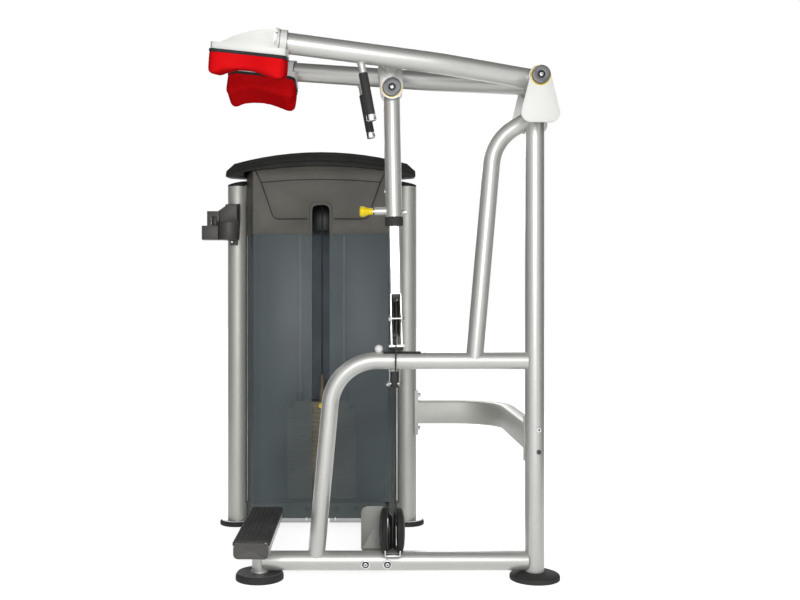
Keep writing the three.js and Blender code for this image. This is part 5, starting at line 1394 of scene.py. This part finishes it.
@dataclass
class WeightTower:
    """Columns, sill, top frame, guide rods, stack and covers."""

    columns: tuple = (("left", -1090.0, -1.0), ("right", -390.0, 1.0))
    guides: tuple = (("left", -831.0), ("right", -649.0))
    middle: float = -740.0
    column_y: float = 805.0
    cap_z: float = 1407.3
    cap_fall: float = 17.0
    cap_width: float = 79.0
    sill_front: float = 779.6
    panel_front: float = 680.0

    def build(self) -> None:
        """Build the tower's pieces."""
        for side, x, out in self.columns:
            self.column(side, x, out)
        profile = [(20, 92.2), (21, 93.4), (21, 112), (19.6, 114.6), (12, 114.8)]
        for side, x in self.guides:
            node = f"guide_rod_{side}"
            bar = rod(f"{node}_bar", 9.5, (x, self.column_y, 92), (x, self.column_y, 1294.6), 32)
            dressed(bar, GUIDE_STEEL, node)
            bumper = turned(f"{node}_bumper", profile, (x, self.column_y, 0), vertices=40)
            dressed(bumper, RUBBER, node)
        self.covers()
        self.stack()

    def column(self, side: str, x: float, out: float) -> None:
        """Raise one column with its foot and slanted cap.

        Args:
            side: The column's name.
            x: Its middle.
            out: Which way its outer side faces.
        """
        place = (x, self.column_y, 0)
        node = f"column_{side}"
        shaft = rod(f"{node}_tube", 39.5, (x, self.column_y, 23), (x, self.column_y, 1392.6), 56)
        dressed(shaft, COLUMN_SILVER, node)
        profile = [(68, 0.2), (71, 2), (71.3, 9), (70.8, 14), (69, 18), (66.4, 20)]
        dressed(turned(f"{node}_foot_rubber", profile, place, vertices=64), RUBBER, node)
        profile = [(64, 19.8), (66, 20.4), (66, 22.6), (65, 23.6), (45, 23.9)]
        dressed(turned(f"{node}_foot_disc", profile, place, vertices=64), ZINC, node)
        cap = turned(f"{node}_cap", [(38.6, 1393), (39.4, 1393.8), (39.4, 1425)], place, vertices=64)
        slope = math.atan2(self.cap_fall, self.cap_width)
        sliced(cap, (x, self.column_y, self.cap_z), (out * math.sin(slope), 0, math.cos(slope)))
        dressed(bevelled(cap, 1.4, 3), DARK_PLASTIC_AND_COVER_SHADE, node)

    def covers(self) -> None:
        """Dress the sill, top frame and shroud."""
        for name, xs, y, z, radius, height, finish in (
            ("sill_bolt", (-800.0, -680.7, -597.7), self.sill_front, 64, 9.5, 6, NYLON_AND_PAINTED_SHADE),
            ("panel_screw", (-797.0, -681.0), self.panel_front, 47, 7, 4, ZINC),
        ):
            for i, x in enumerate(xs):
                dressed(socket_bolt(f"{name}_{i}", (x, y, z), FORWARD, radius, height), finish)
        shells = (("tower_sill", 1.2, DARK_PAINT), ("top_frame", 1, DARK_PAINT), ("header", 1.2, PLASTIC),
                  ("rear_cover", 1.2, SLATE_PLASTIC), ("front_panel_left", 0.6, ACRYLIC),
                  ("front_panel_right", 0.6, ACRYLIC))
        for node, edge, finish in shells:
            dressed(softened(node, edge), finish, node)
        # The top cover's dark colour is partly painted shade.
        dressed(softened("top_cover", 1.4, 3), DARK_PLASTIC_AND_COVER_SHADE, "top_cover")
        self.fascia()

    def bead(self, name: str, line: Sequence[Point], y: float, bends: Sequence[float], radius: float,
             sides: int, finish: Finish) -> None:
        """Lay a round bead along a line on the shroud's face.

        Args:
            name: The bead's name.
            line: Its points, as distances to the right of the tower's middle and heights.
            y: The depth it lies at.
            bends: The bend radius at each inner point.
            radius: The bead's radius.
            sides: Points round it.
            finish: Its surface.
        """
        path = [(self.middle + reach, y, z) for reach, z in line]
        dressed(tube(name, path, bends, radius, sides), finish)

    def fascia(self) -> None:
        """Draw dark beads of painted shade along the header's recess, the placard field and the cover's
        band, put the raised rim round its slot, and paint the shade behind the slot with a dark block.
        """
        front = self.panel_front
        band = [(-378, 1424), (-300, 1452), (-150, 1474), (0, 1481), (150, 1474), (300, 1452), (378, 1424)]
        # A dark bead under the cover's band: painted shadow line.
        self.bead("cover_band_line", band, 661.5, [120] * 5, 2.0, 8, NYLON_AND_PAINTED_SHADE)
        field = [(261, 1442), (238.5, 1397), (189, 1250), (55, 1251)]
        for side, sign in (("left", -1), ("right", 1)):
            line = [(sign * reach, z) for reach, z in field]
            # Dark beads along the recess outline: painted shade in its groove.
            self.bead(f"fascia_groove_{side}", line, front, [4, 24], 1.7, 8, NYLON_AND_PAINTED_SHADE)
            flare = [(self.middle + sign * 41, front + 1.5, 1192),
                     (self.middle + sign * 43, front + 6, 1168),
                     (self.middle + sign * 60, front + 9, 1128)]
            dressed(tube(f"slot_flare_{side}", flare, [12], 4.6, 12), PLASTIC)
        arch = [(-239, 1397), (-120, 1406), (0, 1409), (120, 1406), (239, 1397)]
        # A dark bead along the placard arch: painted shade in its groove.
        self.bead("placard_groove", arch, front, [60] * 3, 1.3, 8, NYLON_AND_PAINTED_SHADE)
        rim = [(-41, 1191), (-41, 1311.5), (41, 1311.5), (41, 1191)]
        self.bead("slot_rim", rim, front + 1, [20, 20], 5.2, 16, PLASTIC)
        # A dark block behind the slot: painted shade.
        dressed(block("slot_shade", (-776, 826, 1214), (-704, 830, 1310), 1), NYLON_AND_PAINTED_SHADE)

    def stack(self) -> None:
        """Dress the plates, the head plate and the selector pin."""
        dressed(softened("weight_stack", 0.8, 1), PLATE_PAINT, "weight_stack")
        head = cut(softened("head_plate", 0.8, 2), self.cable_bore())
        dressed(head, PLATE_PAINT, "head_plate", body=Body.LIFT)
        pin = cut(softened("selector_pin", 0.3, 1), self.cable_bore())
        dressed(pin, YELLOW, "selector_pin", body=Body.SELECTOR)
        profile = [(10, 509), (16, 509), (17, 511), (17, 548), (15.6, 551), (10, 552)]
        for side, x in self.guides:
            bumper = turned(f"lift_bumper_{side}", profile, (x, self.column_y, 0), vertices=40)
            dressed(bumper, RUBBER, body=Body.LIFT)

    def cable_bore(self) -> Piece:
        """Make the hole down the selector stem that the lifting cable runs in when the plates rise."""
        x, y = self.middle, self.column_y
        return rod("cable_bore", 3.4, (x, y, 345), (x, y, 640), 24)


@dataclass
class Connectors:
    """The beams that tie the front frame to the tower."""

    def build(self) -> None:
        """Dress the low and the high beam."""
        dressed(softened("low_connector", 1.2, 2), GREY_COAT, "low_connector")
        dressed(softened("high_connector", 1.6, 3), COLUMN_SILVER, "high_connector")
        for name, z in (("upper", 534.0), ("lower", 398.0)):
            dressed(hex_bolt(f"beam_bolt_{name}", (-345, 795, z), (1, 0, 0), 10, 11), ZINC)


@dataclass
class BottleHolder:
    """The moulded cup on the left column."""

    def build(self) -> None:
        """Dress the cup, and add its curved back, a dark plate of painted shade in the block's slot, and
        its screw.
        """
        circles = [(-1158, 1236, 6), (-1158, 1281, 6), (-1114, 1304, 13), (-1093, 1308, 8),
                   (-1090, 1252, 7)]
        back = plate("holder_back", circles, 736, 740, edge=0.8)
        dressed(back, CUP_PLASTIC)
        # A dark plate in the block's slot: painted shade.
        dressed(block("holder_slot", (-1185, 722, 1220), (-1165, 726, 1264), 1), NYLON_AND_PAINTED_SHADE)
        dressed(socket_bolt("holder_screw", (-1099, 712, 1160), FORWARD, 5, 10), ZINC)
        dressed(softened("bottle_holder", 0.8, 2), CUP_PLASTIC, "bottle_holder")


@dataclass
class RestSaddle:
    """The half shell that the stop lands on, with its ball knob."""

    radius: float = 13.6

    def build(self) -> None:
        """Build the shell, the stem and the ball."""
        dressed(softened("rest_saddle", 0.5, 2), RUBBER, "rest_saddle")
        turns = [math.pi * step / 16 for step in range(1, 16)]
        profile = [(self.radius * math.sin(turn), -self.radius * math.cos(turn)) for turn in turns]
        ball = turned("rest_ball", profile, (-517, 0, 763), vertices=40)
        stem = rod("rest_stem", 5, (-517, 0, 746), (-517, 0, 752), 20)
        dressed(together(stem, ball), WHITE, "rest_knob")


# Studio


@dataclass
class Studio:
    """A white floor and soft light, with the camera where the photograph was taken."""

    camera_at: tuple = (-562.7, -3251.0, 925.0)
    lens: float = 44.1
    sensor: float = 36.0
    shift: float = 0.04375
    aim: tuple = (-550.0, 300.0, 800.0)
    sky_light: float = 0.32
    sky_seen: float = 0.68
    floor_glow: float = 0.8
    matt_roughness: float = 0.9

    def build(self) -> None:
        """Place the camera, the floor, the sky, the lamps and the dark cards."""
        bpy.context.scene.view_settings.view_transform = "Standard"
        self.camera()
        self.floor()
        self.sky()
        self.lamp("front", (-430, -3750, 1750), 1.9, 80)
        self.lamp("back", (-700, 4300, 2500), 2.2, 70)
        upright = (0, math.pi / 2, 0)
        self.flag("left", (-2.9, 0.3, 1.2), upright, (2.6, 3.4))
        self.flag("right", (1.9, 0.3, 1.2), upright, (2.6, 3.4))
        self.flag("top", (-0.5, 0.2, 3.1), (0, 0, 0), (4.6, 3.2))

    def camera(self) -> None:
        """Aim a level camera at the front of the machine."""
        bpy.ops.object.camera_add(location=Vector(self.camera_at) * MM, rotation=(math.pi / 2, 0, 0))
        camera = bpy.context.object
        camera.name = "photo_camera"
        camera.data.lens = self.lens
        camera.data.sensor_width = self.sensor
        camera.data.shift_x = self.shift
        bpy.context.scene.camera = camera

    def floor(self) -> None:
        """Lay a pale floor that meets the white surround without an edge."""
        bpy.ops.mesh.primitive_plane_add(size=60)
        floor = bpy.context.object
        floor.name = "studio_floor"
        material = self.matt("matt white studio floor", 2.0, ("#F2F2F2", "#F4F4F4"), "Object")
        tree = material.node_tree
        shader = tree.nodes["Principled BSDF"]
        shader.inputs["Emission Color"].default_value = (1, 1, 1, 1)
        tree.links.new(self.seen(tree, self.floor_glow), shader.inputs["Emission Strength"])
        floor.data.materials.append(material)

    def matt(self, name: str, scale: float, tones: tuple, space: str = "Generated") -> bpy.types.Material:
        """Make a matt studio surface with a faint cloud between two tones.

        Args:
            name: The material's name.
            scale: How fine the cloud is.
            tones: The darker and the lighter tone.
            space: The texture coordinates that the cloud follows.

        Returns:
            The material.
        """
        if name in bpy.data.materials:
            return bpy.data.materials[name]
        material = bpy.data.materials.new(name)
        material.use_nodes = True
        tree = material.node_tree
        shader = tree.nodes["Principled BSDF"]
        shader.inputs["Roughness"].default_value = self.matt_roughness
        place = add_node(tree, "TexCoord").outputs[space]
        clouds = add_node(tree, "TexNoise", {"Scale": scale}, Vector=place)
        stops = {"stops": list(zip((0.3, 0.7), tones))}
        colour = add_node(tree, "ValToRGB", stops, Fac=clouds.outputs["Fac"])
        tree.links.new(colour.outputs["Color"], shader.inputs["Base Color"])
        return material

    def seen(self, tree: Tree, amount: float) -> Socket:
        """Give an amount to the rays that see a thing, and none to those that light.

        Args:
            tree: The node tree.
            amount: The value for seeing rays.

        Returns:
            The value's socket.
        """
        path = add_node(tree, "LightPath").outputs
        most = {"operation": "MAXIMUM"}
        first = add_node(tree, "Math", most, i0=path["Is Camera Ray"], i1=path["Is Glossy Ray"])
        either = add_node(tree, "Math", most, i0=first.outputs[0], i1=path["Is Transmission Ray"])
        scaled = {"operation": "MULTIPLY", "i1": amount}
        return add_node(tree, "Math", scaled, i0=either.outputs[0]).outputs[0]

    def sky(self) -> None:
        """Surround the machine with white that lights it softly."""
        world = bpy.data.worlds.new("studio_white")
        bpy.context.scene.world = world
        world.use_nodes = True
        tree = world.node_tree
        background = tree.nodes["Background"]
        background.inputs["Color"].default_value = (1, 1, 1, 1)
        settings = {"operation": "ADD", "i1": self.sky_light}
        total = add_node(tree, "Math", settings, i0=self.seen(tree, self.sky_seen))
        tree.links.new(total.outputs[0], background.inputs["Strength"])

    def flag(self, name: str, at: Point, turn: Point, size: Point) -> None:
        """Hang a dark card out of the camera's sight, which draws the edges of the bright tubes.

        Args:
            name: The card's name.
            at: Its middle in metres.
            turn: Its rotation in radians.
            size: Its sides in metres.
        """
        bpy.ops.mesh.primitive_plane_add(size=1, location=at, rotation=turn)
        card = bpy.context.object
        card.name = f"flag_{name}"
        card.scale = (*size, 1)
        settle(card)
        card.data.materials.append(self.matt("black felt", 80.0, ("#1C1C1C", "#2A2A2A")))
        card.visible_camera = False

    def lamp(self, name: str, at: Point, size: float, power: float) -> None:
        """Hang a soft box and aim it at the machine.

        Args:
            name: The lamp's name.
            at: Its place in millimetres.
            size: Its side in metres.
            power: Its power in watts.
        """
        bpy.ops.object.light_add(type="AREA", location=Vector(at) * MM)
        lamp = bpy.context.object
        lamp.name = name
        lamp.data.size = size
        lamp.data.energy = power
        lamp.rotation_euler = (Vector(self.aim) * MM - lamp.location).to_track_quat("-Z", "Y").to_euler()


def build_all() -> None:
    """Build every sub-assembly in order, then the studio."""
    rod_parts = PushRod()
    axis = tuple(linked(1, 0, 0) - linked(0, 0, 0))
    parts = [
        FrontFrame(),
        FootStep(),
        LeverYoke(),
        ShoulderPads(),
        rod_parts,
        CableWheel("link", "link_wheel", Body.LINK_PULLEY, tuple(linked(0, 0, rod_parts.wheel_drop)), axis),
        CableWheel("front", "front_wheel", Body.FRONT_PULLEY, FRONT_WHEEL, X_AXIS),
        CableWheel("rear", "rear_wheel", Body.REAR_PULLEY, (-473.0, 761.0, 148.0), X_AXIS, 50.0, 44.0),
        CableWheel("top_left", "top_wheel_left", Body.TOP_PULLEY_LEFT, (-684.0, 805.0, 1385.0), Y_AXIS),
        CableWheel("top_right", "top_wheel_right", Body.TOP_PULLEY_RIGHT, (-529.0, 805.0, 1385.0), Y_AXIS),
        WheelGuards(),
        CableRuns(),
        WeightTower(),
        Connectors(),
        BottleHolder(),
        RestSaddle(),
    ]
    for part in parts:
        LOG.info("building %s", type(part).__name__)
        part.build()
    Studio().build()


def main() -> None:
    """Build the scene, with logging turned on."""
    logging.basicConfig(level=logging.INFO, format="%(levelname)s %(message)s")
    build_all()


if __name__ == "__main__":
    main()
